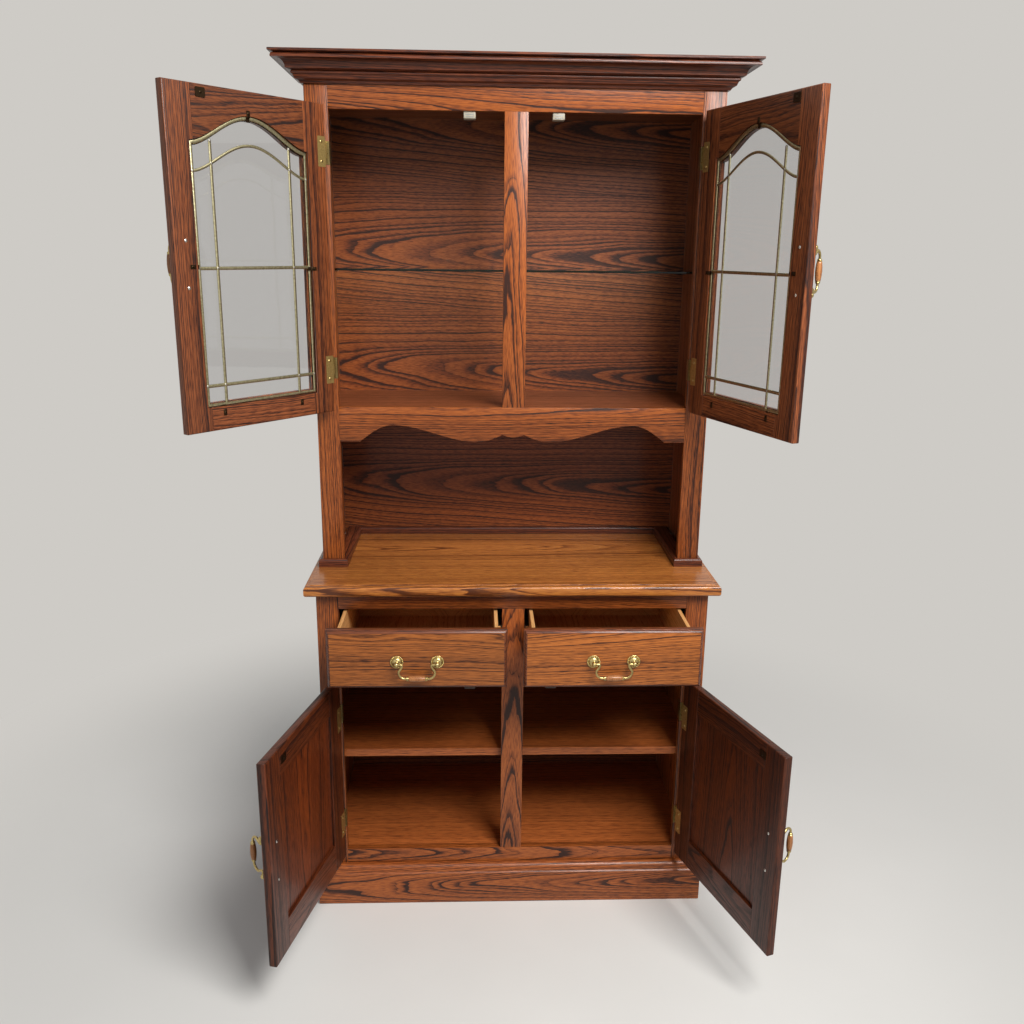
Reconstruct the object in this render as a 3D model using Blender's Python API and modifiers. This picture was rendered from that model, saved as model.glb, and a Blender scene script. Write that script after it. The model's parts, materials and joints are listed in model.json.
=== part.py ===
"""China cabinet in stained oak: a base with two drawers over two panelled doors, and a hutch with two
arched glass doors over an open serving niche.

Metres, +Z up, the front faces -Y. The origin is on the floor, under the middle of the case. The four
doors stand open and the two drawers are pulled out. Each door and drawer is modelled closed under an
empty, and the empty opens it: a door's empty is on its hinge pin, and a bail's is on its posts.
"""

import math

import bmesh
import bpy
from mathutils import Matrix, Vector

# Case
CASE_WIDTH = 0.914
BASE_DEPTH = 0.416
HUTCH_DEPTH = 0.288
FIT = 0.0003  # gap where two pieces touch

# Boards
FRAME_T = 0.019
SIDE_T = 0.016
BACK_T = 0.006
BOARD_T = 0.016
STILE_W = 0.0505
CENTRE_W = 0.052

# Base
FLOOR_OVER_PLINTH = 0.038
BASE_RAIL_H = 0.060
BEARER_T = 0.022
BASE_OPENING_H = 0.461
MID_RAIL_H = 0.056
DRAWER_OPENING_H = 0.121
TOP_RAIL_H = 0.037
SHELF_OVER_FLOOR = 0.265
SHELF_T = 0.019
SHELF_SETBACK = 0.002

# Plinth
PLINTH_H = 0.105
PLINTH_T = 0.021
PLINTH_STEP = 0.003
PLINTH_ROUND_H = 0.017

# Tabletop
TABLETOP_T = 0.026
TABLETOP_OVERHANG = 0.024
TABLETOP_ROUND = 0.007

# Hutch
NICHE_H = 0.307
VALANCE_H = 0.082
HUTCH_OPENING_H = 0.645
HUTCH_RAIL_H = 0.098
HUTCH_CEILING = 0.017  # height of the top board over the door openings
FOOT_H = 0.019
FOOT_T = 0.0095
FOOT_ROUND = 0.006
GLASS_OVER_FLOOR = 0.312
GLASS_SHELF_T = 0.005
GLASS_SHELF_SETBACK = 0.012
PIN_R = 0.0025
PIN_LENGTH = 0.012
PIN_FROM_END = 0.040

# Valance, as shares of the opening's half width and of its height
VALANCE_END = 0.883
VALANCE_CREST = 0.696
VALANCE_TROUGH = 0.212
VALANCE_CUSP = 0.064
VALANCE_RISE = 0.476
VALANCE_SHOULDER = 0.207
VALANCE_NOTCH = 0.64  # of the shoulder
VALANCE_STEPS = 6

# Crown
CROWN_H = 0.059
CROWN_REACH = 0.061
CROWN_RISE = 0.010  # of its top over the hutch's sides

# Doors
DOOR_T = 0.019
DOOR_GAP = 0.001
DOOR_OVERLAY = 0.006
DOOR_EDGE = 0.0025
HINGE_OUT = 0.005
HINGE_FORWARD = 0.013
HINGE_INSET = 0.096
UPPER_OPEN = (128.8, 108.5)  # left, right, in degrees
LOWER_OPEN = (103.9, 108.8)

# Upper doors
UPPER_STILE = 0.051
UPPER_BOTTOM_RAIL = 0.048
ARCH_SPRING = 0.101  # from the door's top down to the ends of the arch
ARCH_RISE = 0.055
ARCH_STEPS = 16
ARCH_FULLNESS = 0.8
REBATE_W = 0.009
REBATE_D = 0.009
GLASS_T = 0.003

# Came grille
CAME_BORDER = 0.0085
CAME_T = 0.003
CAME_BAR = 0.005
CAME_ARCH = 0.004
CAME_SIDE = 0.048  # from the rebate's side to the middle of an upright bar
CAME_ARCH_DROP = 0.055
CAME_MID = 0.273  # heights over the rebate's bottom
CAME_LOW = 0.043

# Lower doors
LOWER_STILE = 0.064
LOWER_BOTTOM_RAIL = 0.072
LOWER_TOP_RAIL = 0.060
PANEL_RECESS = 0.006
PANEL_TONGUE_T = 0.006
PANEL_TONGUE = 0.008
PANEL_MARGIN = 0.002
PANEL_SLOPE_W = 0.034
PANEL_SLOPE_D = 0.005
PANEL_STEP = 0.001

# Drawers
DRAWER_OVERLAY = 0.008
DRAWER_FRONT_T = 0.019
DRAWER_EDGE_T = 0.0125
DRAWER_FILLET = 0.0015
DRAWER_SLOPE = 0.005
DRAWER_GAP = 0.0005
DRAWER_SIDE_T = 0.011
DRAWER_LENGTH = 0.360
DRAWER_PLAY = 0.006  # over and under the box, in its opening
DRAWER_BOTTOM_T = 0.006
DRAWER_PULLED = (0.133, 0.135)  # left, right

# Drawer runners
RUNNER_SPACE = 0.0115
RUNNER_T = 0.0015
RUNNER_H = 0.036
RUNNER_SETBACK = 0.002
RUNNER_STRIP = 0.008
RUNNER_STRIP_SETBACK = 0.020

# Hinges
HINGE_H = 0.062
LEAF_W = 0.022
LEAF_T = 0.0012
KNUCKLE_R = 0.0035
KNUCKLE_H = 0.020
HINGE_PIN_R = 0.0016
FINIAL_H = 0.015
HINGE_SIDES = 8

# Bail pulls
PULL_CENTRES = 0.0889
PULL_FROM_EDGE_UPPER = 0.0275
DRAWER_PULL_DROP = 0.0045  # of the posts under the front's middle
UPPER_BAIL_TURN = (14, 34)  # left, right, in degrees from straight out towards the hinges
LOWER_BAIL_TURN = (32, 20)
POST_REACH = 0.0165
ROSETTE_R = 0.0146
ROSETTE_H = 0.005
POST_NECK_R = 0.0032
POST_BALL_R = 0.0055
WIRE_R = 0.0023
WIRE_SIDES = 2  # bevel resolution
BAIL_TIP = 0.0015  # of the wire past the middle of its post
BAIL_DROP = 0.033
BAIL_SHOULDER = 0.0125
BAIL_CROOK = 0.004
BAIL_BOW_INSET = 0.005
BAIL_BOW_R = 0.0145
GRIP_LENGTH = 0.048
GRIP_CAP = 0.006
GRIP_R = 0.0068
GRIP_END_R = 0.0048
ROUND_SIDES = 12

# Catches
CATCH_X = 0.090
CATCH_W = 0.026
CATCH_H = 0.012
CATCH_D = 0.030

# Derived places
HALF = CASE_WIDTH / 2
INNER = HALF - SIDE_T
OPEN_X = HALF - STILE_W
BACK_Y = BASE_DEPTH / 2
BASE_FRONT = -BASE_DEPTH / 2
HUTCH_FRONT = BACK_Y - HUTCH_DEPTH
BACK_FACE = BACK_Y - BACK_T
BASE_FLOOR_TOP = PLINTH_H + FLOOR_OVER_PLINTH
SHELF_TOP = BASE_FLOOR_TOP + SHELF_OVER_FLOOR
MID_RAIL_BOTTOM = BASE_FLOOR_TOP + BASE_OPENING_H
DRAWER_FLOOR = MID_RAIL_BOTTOM + MID_RAIL_H
DRAWER_CEILING = DRAWER_FLOOR + DRAWER_OPENING_H
TABLE_UNDER = DRAWER_CEILING + TOP_RAIL_H
TABLE_TOP = TABLE_UNDER + TABLETOP_T
VALANCE_LOW = TABLE_TOP + NICHE_H
HUTCH_FLOOR = VALANCE_LOW + VALANCE_H
GLASS_SHELF_TOP = HUTCH_FLOOR + GLASS_OVER_FLOOR
HUTCH_LINTEL = HUTCH_FLOOR + HUTCH_OPENING_H
HUTCH_TOP = HUTCH_LINTEL + HUTCH_RAIL_H
CROWN_LOW = HUTCH_TOP + CROWN_RISE - CROWN_H
BAY_W = OPEN_X - CENTRE_W / 2
DOOR_W = BAY_W + 2 * DOOR_OVERLAY
DOOR_BACK = HINGE_FORWARD - DOOR_GAP  # behind the hinge pin
DOOR_FRONT = DOOR_BACK - DOOR_T
UPPER_LOW = HUTCH_FLOOR - DOOR_OVERLAY
UPPER_HIGH = HUTCH_LINTEL + DOOR_OVERLAY
LOWER_LOW = BASE_FLOOR_TOP - DOOR_OVERLAY
LOWER_HIGH = MID_RAIL_BOTTOM + DOOR_OVERLAY
SIDES = {"left": -1, "right": 1}

MATERIALS = {}


def linear(code):
    """Linear colour of an sRGB hex code."""
    channels = [int(code[i : i + 2], 16) / 255 for i in (0, 2, 4)]
    return [c / 12.92 if c <= 0.04045 else ((c + 0.055) / 1.055) ** 2.4 for c in channels]


def make_material(name, code, roughness, metallic=0.0, alpha=1.0):
    material = bpy.data.materials.new(name)
    material.use_nodes = True
    shader = material.node_tree.nodes["Principled BSDF"]
    shader.inputs["Base Color"].default_value = (*linear(code), 1.0)
    shader.inputs["Roughness"].default_value = roughness
    shader.inputs["Metallic"].default_value = metallic
    shader.inputs["Alpha"].default_value = alpha
    material.diffuse_color = (*linear(code), alpha)
    MATERIALS[name] = material


def make_materials():
    make_material("stained_oak", "8a4a22", 0.35)
    make_material("dark_oak", "5a2c18", 0.35)
    make_material("panel_oak", "6e3a20", 0.45)
    make_material("maple", "c68a4e", 0.50)
    make_material("antique_brass", "b08d4a", 0.30, metallic=1.0)
    make_material("zinc_steel", "9a9c9e", 0.35, metallic=1.0)
    make_material("clear_glass", "dfe6e4", 0.05, alpha=0.3)


def clear_scene():
    for obj in list(bpy.data.objects):
        bpy.data.objects.remove(obj, do_unlink=True)


def make_collection(name):
    group = bpy.data.collections.new(name)
    bpy.context.scene.collection.children.link(group)
    return group


def new_object(name, mesh, group=None):
    obj = bpy.data.objects.new(name, mesh)
    (group or PARTS).objects.link(obj)
    return obj


def from_bmesh(name, bm, group=None):
    bmesh.ops.recalc_face_normals(bm, faces=bm.faces)
    mesh = bpy.data.meshes.new(name)
    bm.to_mesh(mesh)
    bm.free()
    return new_object(name, mesh, group)


def finish(obj, material, parent=None):
    obj.data.materials.clear()
    obj.data.materials.append(MATERIALS[material])
    obj.parent = parent
    return obj


def cube_mesh(corner_a, corner_b):
    """A bmesh box between any two opposite corners."""
    low = Vector(map(min, corner_a, corner_b))
    high = Vector(map(max, corner_a, corner_b))
    bm = bmesh.new()
    bmesh.ops.create_cube(bm, size=1.0)
    bmesh.ops.scale(bm, vec=high - low, verts=bm.verts)
    bmesh.ops.translate(bm, vec=(low + high) / 2, verts=bm.verts)
    return bm


def box(name, corner_a, corner_b, group=None):
    return from_bmesh(name, cube_mesh(corner_a, corner_b), group)


def pocket(bm, normal, wall, depth):
    """Sink the face that looks along normal, inside a rim as wide as wall."""
    face = max(bm.faces, key=lambda f: f.normal.dot(normal))
    bmesh.ops.inset_region(bm, faces=[face], thickness=wall)
    bottom = bmesh.ops.extrude_discrete_faces(bm, faces=[face])["faces"][0]
    bmesh.ops.translate(bm, vec=-Vector(normal) * depth, verts=bottom.verts)


def settled(obj):
    """Apply an object's modifiers and clear them."""
    graph = bpy.context.evaluated_depsgraph_get()
    mesh = bpy.data.meshes.new_from_object(obj.evaluated_get(graph))
    obj.modifiers.clear()
    obj.data = mesh
    return obj


def boolean(obj, other, operation):
    """Cut other from obj, or join it to obj, and remove other."""
    other.hide_render = True
    other.display_type = "WIRE"
    modifier = obj.modifiers.new(operation.title(), "BOOLEAN")
    modifier.operation = operation
    modifier.solver = "EXACT"
    modifier.object = other
    settled(obj)
    bpy.data.objects.remove(other, do_unlink=True)
    return obj


def cut(obj, *others):
    for other in others:
        boolean(obj, other, "DIFFERENCE")
    return obj


def join(obj, *others):
    for other in others:
        boolean(obj, other, "UNION")
    return obj


def solid_from_curve(obj):
    """Make a curve object a mesh whose caps are welded to its sides."""
    graph = bpy.context.evaluated_depsgraph_get()
    mesh = bpy.data.meshes.new_from_object(obj.evaluated_get(graph))
    bm = bmesh.new()
    bm.from_mesh(mesh)
    bmesh.ops.remove_doubles(bm, verts=bm.verts, dist=1e-6)
    bmesh.ops.transform(bm, matrix=obj.matrix_basis, verts=bm.verts)
    name = obj.name
    group = obj.users_collection[0]
    bpy.data.objects.remove(obj, do_unlink=True)
    return from_bmesh(name, bm, group)


def filled_curve(name, outlines, thickness, edge, group):
    """A flat 2D curve object from closed outlines, the first outside and the rest holes."""
    curve = bpy.data.curves.new(name, "CURVE")
    curve.dimensions = "2D"
    curve.fill_mode = "BOTH"
    curve.extrude = thickness / 2 - edge
    curve.bevel_depth = edge
    curve.bevel_resolution = 0
    curve.offset = -edge
    for outline in outlines:
        spline = curve.splines.new("POLY")
        spline.points.add(len(outline) - 1)
        for point, (x, y) in zip(spline.points, outline):
            point.co = (x, y, 0.0, 1.0)
        spline.use_cyclic_u = True
    return new_object(name, curve, group)


def plate(name, outlines, front, thickness, edge=0.0, group=None):
    """An upright plate from outlines of (x, z) points, its front face at y = front."""
    obj = filled_curve(name, outlines, thickness, edge, group)
    obj.rotation_euler.x = math.radians(90)
    obj.location.y = front + thickness / 2
    bpy.context.view_layer.update()
    return solid_from_curve(obj)


def bar(name, outline, low, high, group=None):
    """An upright bar with a section of (x, y) points, from the height low to high."""
    obj = filled_curve(name, [outline], high - low, 0.0, group)
    obj.location.z = (low + high) / 2
    bpy.context.view_layer.update()
    return solid_from_curve(obj)


def rectangle(x0, x1, z0, z1):
    return [(x0, z0), (x1, z0), (x1, z1), (x0, z1)]


def turned(name, profile, sides, group=None):
    """A solid of revolution about Z from (radius, height) points, top to bottom."""
    bm = bmesh.new()
    verts = [bm.verts.new((radius, 0.0, height)) for radius, height in profile]
    for a, b in zip(verts, verts[1:]):
        bm.edges.new((a, b))
    mesh = bpy.data.meshes.new(name)
    bm.to_mesh(mesh)
    bm.free()
    obj = new_object(name, mesh, group)
    screw = obj.modifiers.new("Turn", "SCREW")
    screw.axis = "Z"
    screw.steps = sides
    screw.render_steps = sides
    screw.use_merge_vertices = True
    screw.merge_threshold = 0.00001
    return settled(obj)


def arc(centre, radius, start, end, steps):
    """Points (x, y) on an arc, angles in degrees, both ends included."""
    turns = [math.radians(start + (end - start) * i / steps) for i in range(steps + 1)]
    return [(centre[0] + radius[0] * math.cos(a), centre[1] + radius[1] * math.sin(a)) for a in turns]


def wire(name, points, radius, resolution, group=None):
    curve = bpy.data.curves.new(name, "CURVE")
    curve.dimensions = "3D"
    curve.bevel_depth = radius
    curve.bevel_resolution = resolution
    curve.use_fill_caps = True
    spline = curve.splines.new("POLY")
    spline.points.add(len(points) - 1)
    for point, co in zip(spline.points, points):
        point.co = (*co, 1.0)
    obj = new_object(name, curve, group)
    bpy.context.view_layer.update()
    return solid_from_curve(obj)


def mitres(path):
    """At each corner of a plan path, the vector that a reach of 1 to the right of the way moves by."""
    normals = []
    for a, b in zip(path, path[1:]):
        way = Vector((b[0] - a[0], b[1] - a[1])).normalized()
        normals.append(Vector((way.y, -way.x)))
    before = [normals[0], *normals]
    after = [*normals, normals[-1]]
    return [(a + b) / (1 + a.dot(b)) for a, b in zip(before, after)]


def moulding(name, path, profile, base):
    """A (reach, height) profile run along a plan path over the height base, mitred at its corners."""
    bm = bmesh.new()
    ring = [bm.verts.new((reach, 0.0, height)) for reach, height in profile]
    end = bm.faces.new(ring)
    for station in range(1, len(path)):
        last = end
        grown = bmesh.ops.extrude_face_region(bm, geom=[last])["geom"]
        end = next(item for item in grown if isinstance(item, bmesh.types.BMFace))
        bmesh.ops.translate(bm, vec=(0.0, 1.0, 0.0), verts=end.verts)
        if station > 1:
            bmesh.ops.delete(bm, geom=[last], context="FACES_ONLY")
    steps = list(zip(path, mitres(path)))
    for vert in bm.verts:
        corner, mitre = steps[round(vert.co.y)]
        reach = vert.co.x
        vert.co = (corner[0] + reach * mitre.x, corner[1] + reach * mitre.y, base + vert.co.z)
    return from_bmesh(name, bm)


def around_case(front):
    """Plan path round the case's left side, front and right side, its right hand outwards."""
    out = HALF + FIT
    return [(-out, BACK_Y), (-out, front - FIT), (out, front - FIT), (out, BACK_Y)]


# Base carcass


def make_plinth():
    shoulder = PLINTH_H - PLINTH_ROUND_H
    lip = shoulder - PLINTH_STEP
    hollow = arc((PLINTH_STEP, shoulder), (PLINTH_T - 2 * PLINTH_STEP, PLINTH_ROUND_H), 0, 90, 5)
    profile = [(0, 0), (PLINTH_T, 0), (PLINTH_T, lip), (PLINTH_T - PLINTH_STEP, lip + 0.002)]
    profile += [*hollow, (0, PLINTH_H)]
    finish(moulding("plinth", around_case(BASE_FRONT), profile, 0.0), "stained_oak")


def make_base_carcass():
    behind_frame = BASE_FRONT + FRAME_T + FIT
    board = BASE_FLOOR_TOP - BOARD_T
    for side, sign in SIDES.items():
        panel = box(
            f"base_side_{side}",
            (sign * HALF, behind_frame, 0.0),
            (sign * INNER, BACK_Y, TABLE_UNDER - FIT),
        )
        finish(panel, "stained_oak")
    within = INNER - FIT
    floor = box("base_floor", (-within, behind_frame, board), (within, BACK_FACE - FIT, BASE_FLOOR_TOP))
    bearer = box(
        "bearer",
        (-BEARER_T / 2, behind_frame, 0.0),
        (BEARER_T / 2, BACK_FACE - FIT, board + BOARD_T / 2),
        CUTTERS,
    )
    finish(join(floor, bearer), "stained_oak")
    back = box("base_back", (-within, BACK_FACE, board), (within, BACK_Y, TABLE_UNDER - FIT))
    finish(back, "panel_oak")
    shelf = box(
        "base_shelf",
        (-within, behind_frame + SHELF_SETBACK, SHELF_TOP - SHELF_T),
        (within, BACK_FACE - FIT, SHELF_TOP),
    )
    finish(shelf, "stained_oak")


def catch_block(x, front, high):
    """A magnetic catch body that hangs from the underside of a rail."""
    return box(
        "catch",
        (x - CATCH_W / 2, front + DOOR_GAP, high - CATCH_H),
        (x + CATCH_W / 2, front + CATCH_D, high + DOOR_GAP),
        CUTTERS,
    )


def opening(sign, front, low, high):
    """Cutter for one of the two openings beside the centre stile."""
    return box(
        "opening",
        (sign * CENTRE_W / 2, front - FRAME_T, low),
        (sign * OPEN_X, front + 2 * FRAME_T, high),
        CUTTERS,
    )


def make_base_face_frame():
    back = BASE_FRONT + FRAME_T
    frame = box("base_face_frame", (-HALF, BASE_FRONT, 0.0), (HALF, back, TABLE_UNDER - FIT))
    toe = box(
        "toe",
        (-OPEN_X, BASE_FRONT - FRAME_T, -BASE_RAIL_H),
        (OPEN_X, back + FRAME_T, BASE_FLOOR_TOP - BASE_RAIL_H),
        CUTTERS,
    )
    cut(frame, toe)
    for sign in SIDES.values():
        cut(frame, opening(sign, BASE_FRONT, BASE_FLOOR_TOP, MID_RAIL_BOTTOM))
        cut(frame, opening(sign, BASE_FRONT, DRAWER_FLOOR, DRAWER_CEILING))
        join(frame, catch_block(sign * CATCH_X, BASE_FRONT, MID_RAIL_BOTTOM))
    finish(frame, "stained_oak")


def make_tabletop():
    out = HALF + TABLETOP_OVERHANG
    bm = cube_mesh(
        (-out, BASE_FRONT - TABLETOP_OVERHANG, TABLE_UNDER),
        (out, BACK_Y, TABLE_TOP),
    )
    rims = []
    for edge in bm.edges:
        a, b = (vert.co for vert in edge.verts)
        level = abs(a.z - b.z) < FIT
        at_back = a.y > 0 and b.y > 0
        if level and not at_back:
            rims.append(edge)
    bmesh.ops.bevel(bm, geom=rims, offset=TABLETOP_ROUND, segments=3, profile=0.5, affect="EDGES")
    finish(from_bmesh("tabletop", bm), "stained_oak")


def runner_channel(sign, near):
    """A steel channel beside a drawer opening's edge at near. It opens towards sign."""
    middle = (DRAWER_FLOOR + DRAWER_CEILING) / 2
    front = BASE_FRONT + RUNNER_SETBACK
    seat = near + sign * FIT
    open_side = near + sign * (RUNNER_SPACE - FIT - RUNNER_T / 2)
    channel = box(
        "channel",
        (seat, front, middle - RUNNER_H / 2),
        (open_side, BACK_FACE - FIT, middle + RUNNER_H / 2),
        CUTTERS,
    )
    inside = RUNNER_H / 2 - RUNNER_T
    slot = box(
        "slot",
        (seat + sign * RUNNER_T, front - RUNNER_T, middle - inside),
        (near + sign * RUNNER_SPACE, BACK_FACE, middle + inside),
        CUTTERS,
    )
    return cut(channel, slot)


def make_runner(name, left, right, channels):
    """Packing piece behind the frame from left to right, with channels given as (sign, near)."""
    middle = (DRAWER_FLOOR + DRAWER_CEILING) / 2
    runner = box(
        name,
        (left, BASE_FRONT + FRAME_T + FIT, middle - RUNNER_H / 2),
        (right, BACK_FACE - FIT, middle + RUNNER_H / 2),
    )
    finish(join(runner, *[runner_channel(sign, near) for sign, near in channels]), "zinc_steel")


def make_runners():
    lap = FIT + RUNNER_T / 2
    centre = CENTRE_W / 2
    make_runner("runner_centre", -centre - lap, centre + lap, [(-1, -centre), (1, centre)])
    for side, sign in SIDES.items():
        wall = sign * (INNER - FIT)
        make_runner(f"runner_{side}", sign * (OPEN_X - lap), wall, [(-sign, sign * OPEN_X)])


# Hutch carcass


def make_hutch_carcass():
    behind_frame = HUTCH_FRONT + FRAME_T + FIT
    low = TABLE_TOP + FIT
    within = INNER - FIT
    shelf_under = GLASS_SHELF_TOP - GLASS_SHELF_T - FIT
    pin_places = (behind_frame + GLASS_SHELF_SETBACK + PIN_FROM_END, BACK_FACE - PIN_FROM_END)
    for side, sign in SIDES.items():
        panel = box(
            f"hutch_side_{side}",
            (sign * HALF, behind_frame, low),
            (sign * INNER, BACK_Y, HUTCH_TOP),
        )
        for y in pin_places:
            pin = turned("pin", [(0, PIN_LENGTH), (PIN_R, PIN_LENGTH), (PIN_R, 0), (0, 0)], 8, CUTTERS)
            turn = Matrix.Rotation(math.radians(-90 * sign), 4, "Y")
            place = Matrix.Translation((sign * (INNER + PIN_R), y, shelf_under - PIN_R))
            pin.data.transform(place @ turn)
            join(panel, pin)
        finish(panel, "stained_oak")
    boards = {"hutch_floor": HUTCH_FLOOR, "hutch_top": HUTCH_LINTEL + HUTCH_CEILING + BOARD_T}
    for name, top in boards.items():
        board = box(name, (-within, behind_frame, top - BOARD_T), (within, BACK_FACE - FIT, top))
        finish(board, "stained_oak")
    finish(box("hutch_back", (-within, BACK_FACE, low), (within, BACK_Y, HUTCH_TOP)), "panel_oak")
    shelf = box(
        "glass_shelf",
        (-within + FIT, behind_frame + GLASS_SHELF_SETBACK, GLASS_SHELF_TOP - GLASS_SHELF_T),
        (within - FIT, BACK_FACE - FIT, GLASS_SHELF_TOP),
    )
    finish(shelf, "clear_glass")


def valance_curve():
    """The valance's shaped lower edge, from the left stile to the right one, as heights over its ends."""
    end = OPEN_X * VALANCE_END
    crest = OPEN_X * VALANCE_CREST
    trough = OPEN_X * VALANCE_TROUGH
    cusp = OPEN_X * VALANCE_CUSP
    high = VALANCE_H * VALANCE_RISE
    shoulder = VALANCE_H * VALANCE_SHOULDER
    notch = shoulder * VALANCE_NOTCH
    half = [(-OPEN_X, 0.0), (-end, 0.0)]
    for i in range(1, VALANCE_STEPS + 1):
        t = i / VALANCE_STEPS
        half.append((-end + (end - crest) * t, high * math.sin(math.pi / 2 * t)))
    for i in range(1, 2 * VALANCE_STEPS + 1):
        t = i / (2 * VALANCE_STEPS)
        half.append((-crest + (crest - trough) * t, high * (0.5 + 0.5 * math.cos(math.pi * t))))
    for i in range(1, VALANCE_STEPS // 2 + 1):
        t = i / (VALANCE_STEPS // 2)
        half.append((-trough + (trough - cusp) * t, shoulder * t * t))
    half.append((-cusp / 2, notch + (shoulder - notch) / 4))
    return half + [(0.0, notch)] + [(-x, z) for x, z in reversed(half)]


def make_hutch_face_frame():
    low = TABLE_TOP + FIT
    back = HUTCH_FRONT + FRAME_T
    frame = box("hutch_face_frame", (-HALF, HUTCH_FRONT, low), (HALF, back, HUTCH_TOP))
    edge = [(x, VALANCE_LOW + z) for x, z in valance_curve()]
    niche = [(-OPEN_X, low - NICHE_H), *edge, (OPEN_X, low - NICHE_H)]
    cut(frame, plate("niche", [niche], HUTCH_FRONT - FRAME_T, 3 * FRAME_T, group=CUTTERS))
    for sign in SIDES.values():
        cut(frame, opening(sign, HUTCH_FRONT, HUTCH_FLOOR, HUTCH_LINTEL))
        join(frame, catch_block(sign * CATCH_X, HUTCH_FRONT, HUTCH_LINTEL))
    finish(frame, "stained_oak")


def make_crown():
    """Bed fillet, small bead, stepped cove and top fillet, mitred round the hutch.

    The profile is in shares of the crown's reach and height, from the bed up.
    """
    bead = arc((0.303, 0.331), (0.057, 0.059), -90, 90, 4)
    cove = arc((0.787, 0.441), (0.279, 0.305), 180, 95, 4)
    cap = arc((0.770, 0.754), (0.156, 0.144), -10, 75, 3)
    shares = [(0, 0), (0.082, 0), (0.131, 0.085), (0.246, 0.136), *bead, (0.393, 0.398)]
    shares += [*cove, *cap, (0.951, 0.907), (1, 0.924), (1, 1), (0, 1)]
    profile = [(out * CROWN_REACH, up * CROWN_H) for out, up in shares]
    finish(moulding("crown", around_case(HUTCH_FRONT), profile, CROWN_LOW), "dark_oak")


def make_foot_moulding():
    """Moulding round the hutch's feet: outside, across each stile, and round the inside of the niche."""
    out = HALF + FIT
    front = HUTCH_FRONT - FIT
    inner = OPEN_X - FIT
    back = BACK_FACE - FIT
    left = [(-out, BACK_Y), (-out, front), (-inner, front), (-inner, back)]
    path = left + [(-x, y) for x, y in reversed(left)]
    round_top = arc((FOOT_T - FOOT_ROUND, FOOT_H - FOOT_ROUND), (FOOT_ROUND, FOOT_ROUND), 0, 90, 3)
    profile = [(0, 0), (FOOT_T, 0), *round_top, (0, FOOT_H)]
    low = TABLE_TOP + FIT
    foot = moulding("foot_moulding", path, profile, low)
    for sign in SIDES.values():
        block = box(
            "block",
            (sign * (INNER - FIT), HUTCH_FRONT + FRAME_T + FIT, low),
            (sign * (inner - (FOOT_T - FOOT_ROUND) / 2), back, low + FOOT_H),
            CUTTERS,
        )
        join(foot, block)
    finish(foot, "dark_oak")


# Hinges


def hinge_pin_profile():
    """Pin, two fixed knuckles and turned finials, as (radius, height) from the top down."""
    end = HINGE_H / 2
    inner = KNUCKLE_H / 2 + FIT
    tip = end + FINIAL_H
    upper = [
        (0, tip),
        (KNUCKLE_R * 0.45, tip - FINIAL_H * 0.06),
        (KNUCKLE_R * 0.80, tip - FINIAL_H * 0.26),
        (KNUCKLE_R * 0.50, tip - FINIAL_H * 0.46),
        (KNUCKLE_R * 0.40, tip - FINIAL_H * 0.60),
        (KNUCKLE_R * 1.10, tip - FINIAL_H * 0.74),
        (KNUCKLE_R * 1.10, tip - FINIAL_H * 0.90),
        (KNUCKLE_R, end - FINIAL_H * 0.08),
        (KNUCKLE_R, inner),
        (HINGE_PIN_R, inner),
    ]
    return upper + [(radius, -height) for radius, height in reversed(upper)]


def make_hinge(name, sign, front, height):
    """The half of a hinge that is screwed to the face frame: leaf, web, knuckles, pin and finials."""
    pin = Vector((sign * (OPEN_X + DOOR_OVERLAY + HINGE_OUT), front - HINGE_FORWARD, height))
    barrel = turned(name, hinge_pin_profile(), HINGE_SIDES)
    barrel.data.transform(Matrix.Translation(pin))
    near = KNUCKLE_R - 1.4 * LEAF_T
    back = HINGE_FORWARD - FIT
    section = [
        (near, HINGE_PIN_R),
        (near + LEAF_T, HINGE_PIN_R),
        (near + LEAF_T, back - LEAF_T),
        (near + LEAF_W, back - LEAF_T),
        (near + LEAF_W, back),
        (near, back),
    ]
    around_pin = [(pin.x + sign * x, pin.y + y) for x, y in section]
    half = HINGE_H / 2 - FINIAL_H / 25
    leaf = bar("leaf", around_pin, height - half, height + half, CUTTERS)
    clearance = KNUCKLE_H / 2 + FIT
    window = box(
        "window",
        (pin.x, pin.y - KNUCKLE_R, height - clearance),
        (pin.x + sign * 2 * KNUCKLE_R, pin.y + back - 2 * LEAF_T, height + clearance),
        CUTTERS,
    )
    finish(join(barrel, cut(leaf, window)), "antique_brass")


def make_hinges():
    for side, sign in SIDES.items():
        for level, height in (("top", UPPER_HIGH - HINGE_INSET), ("bottom", UPPER_LOW + HINGE_INSET)):
            make_hinge(f"upper_hinge_{side}_{level}", sign, HUTCH_FRONT, height)
        for level, height in (("top", LOWER_HIGH - HINGE_INSET), ("bottom", LOWER_LOW + HINGE_INSET)):
            make_hinge(f"lower_hinge_{side}_{level}", sign, BASE_FRONT, height)


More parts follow.
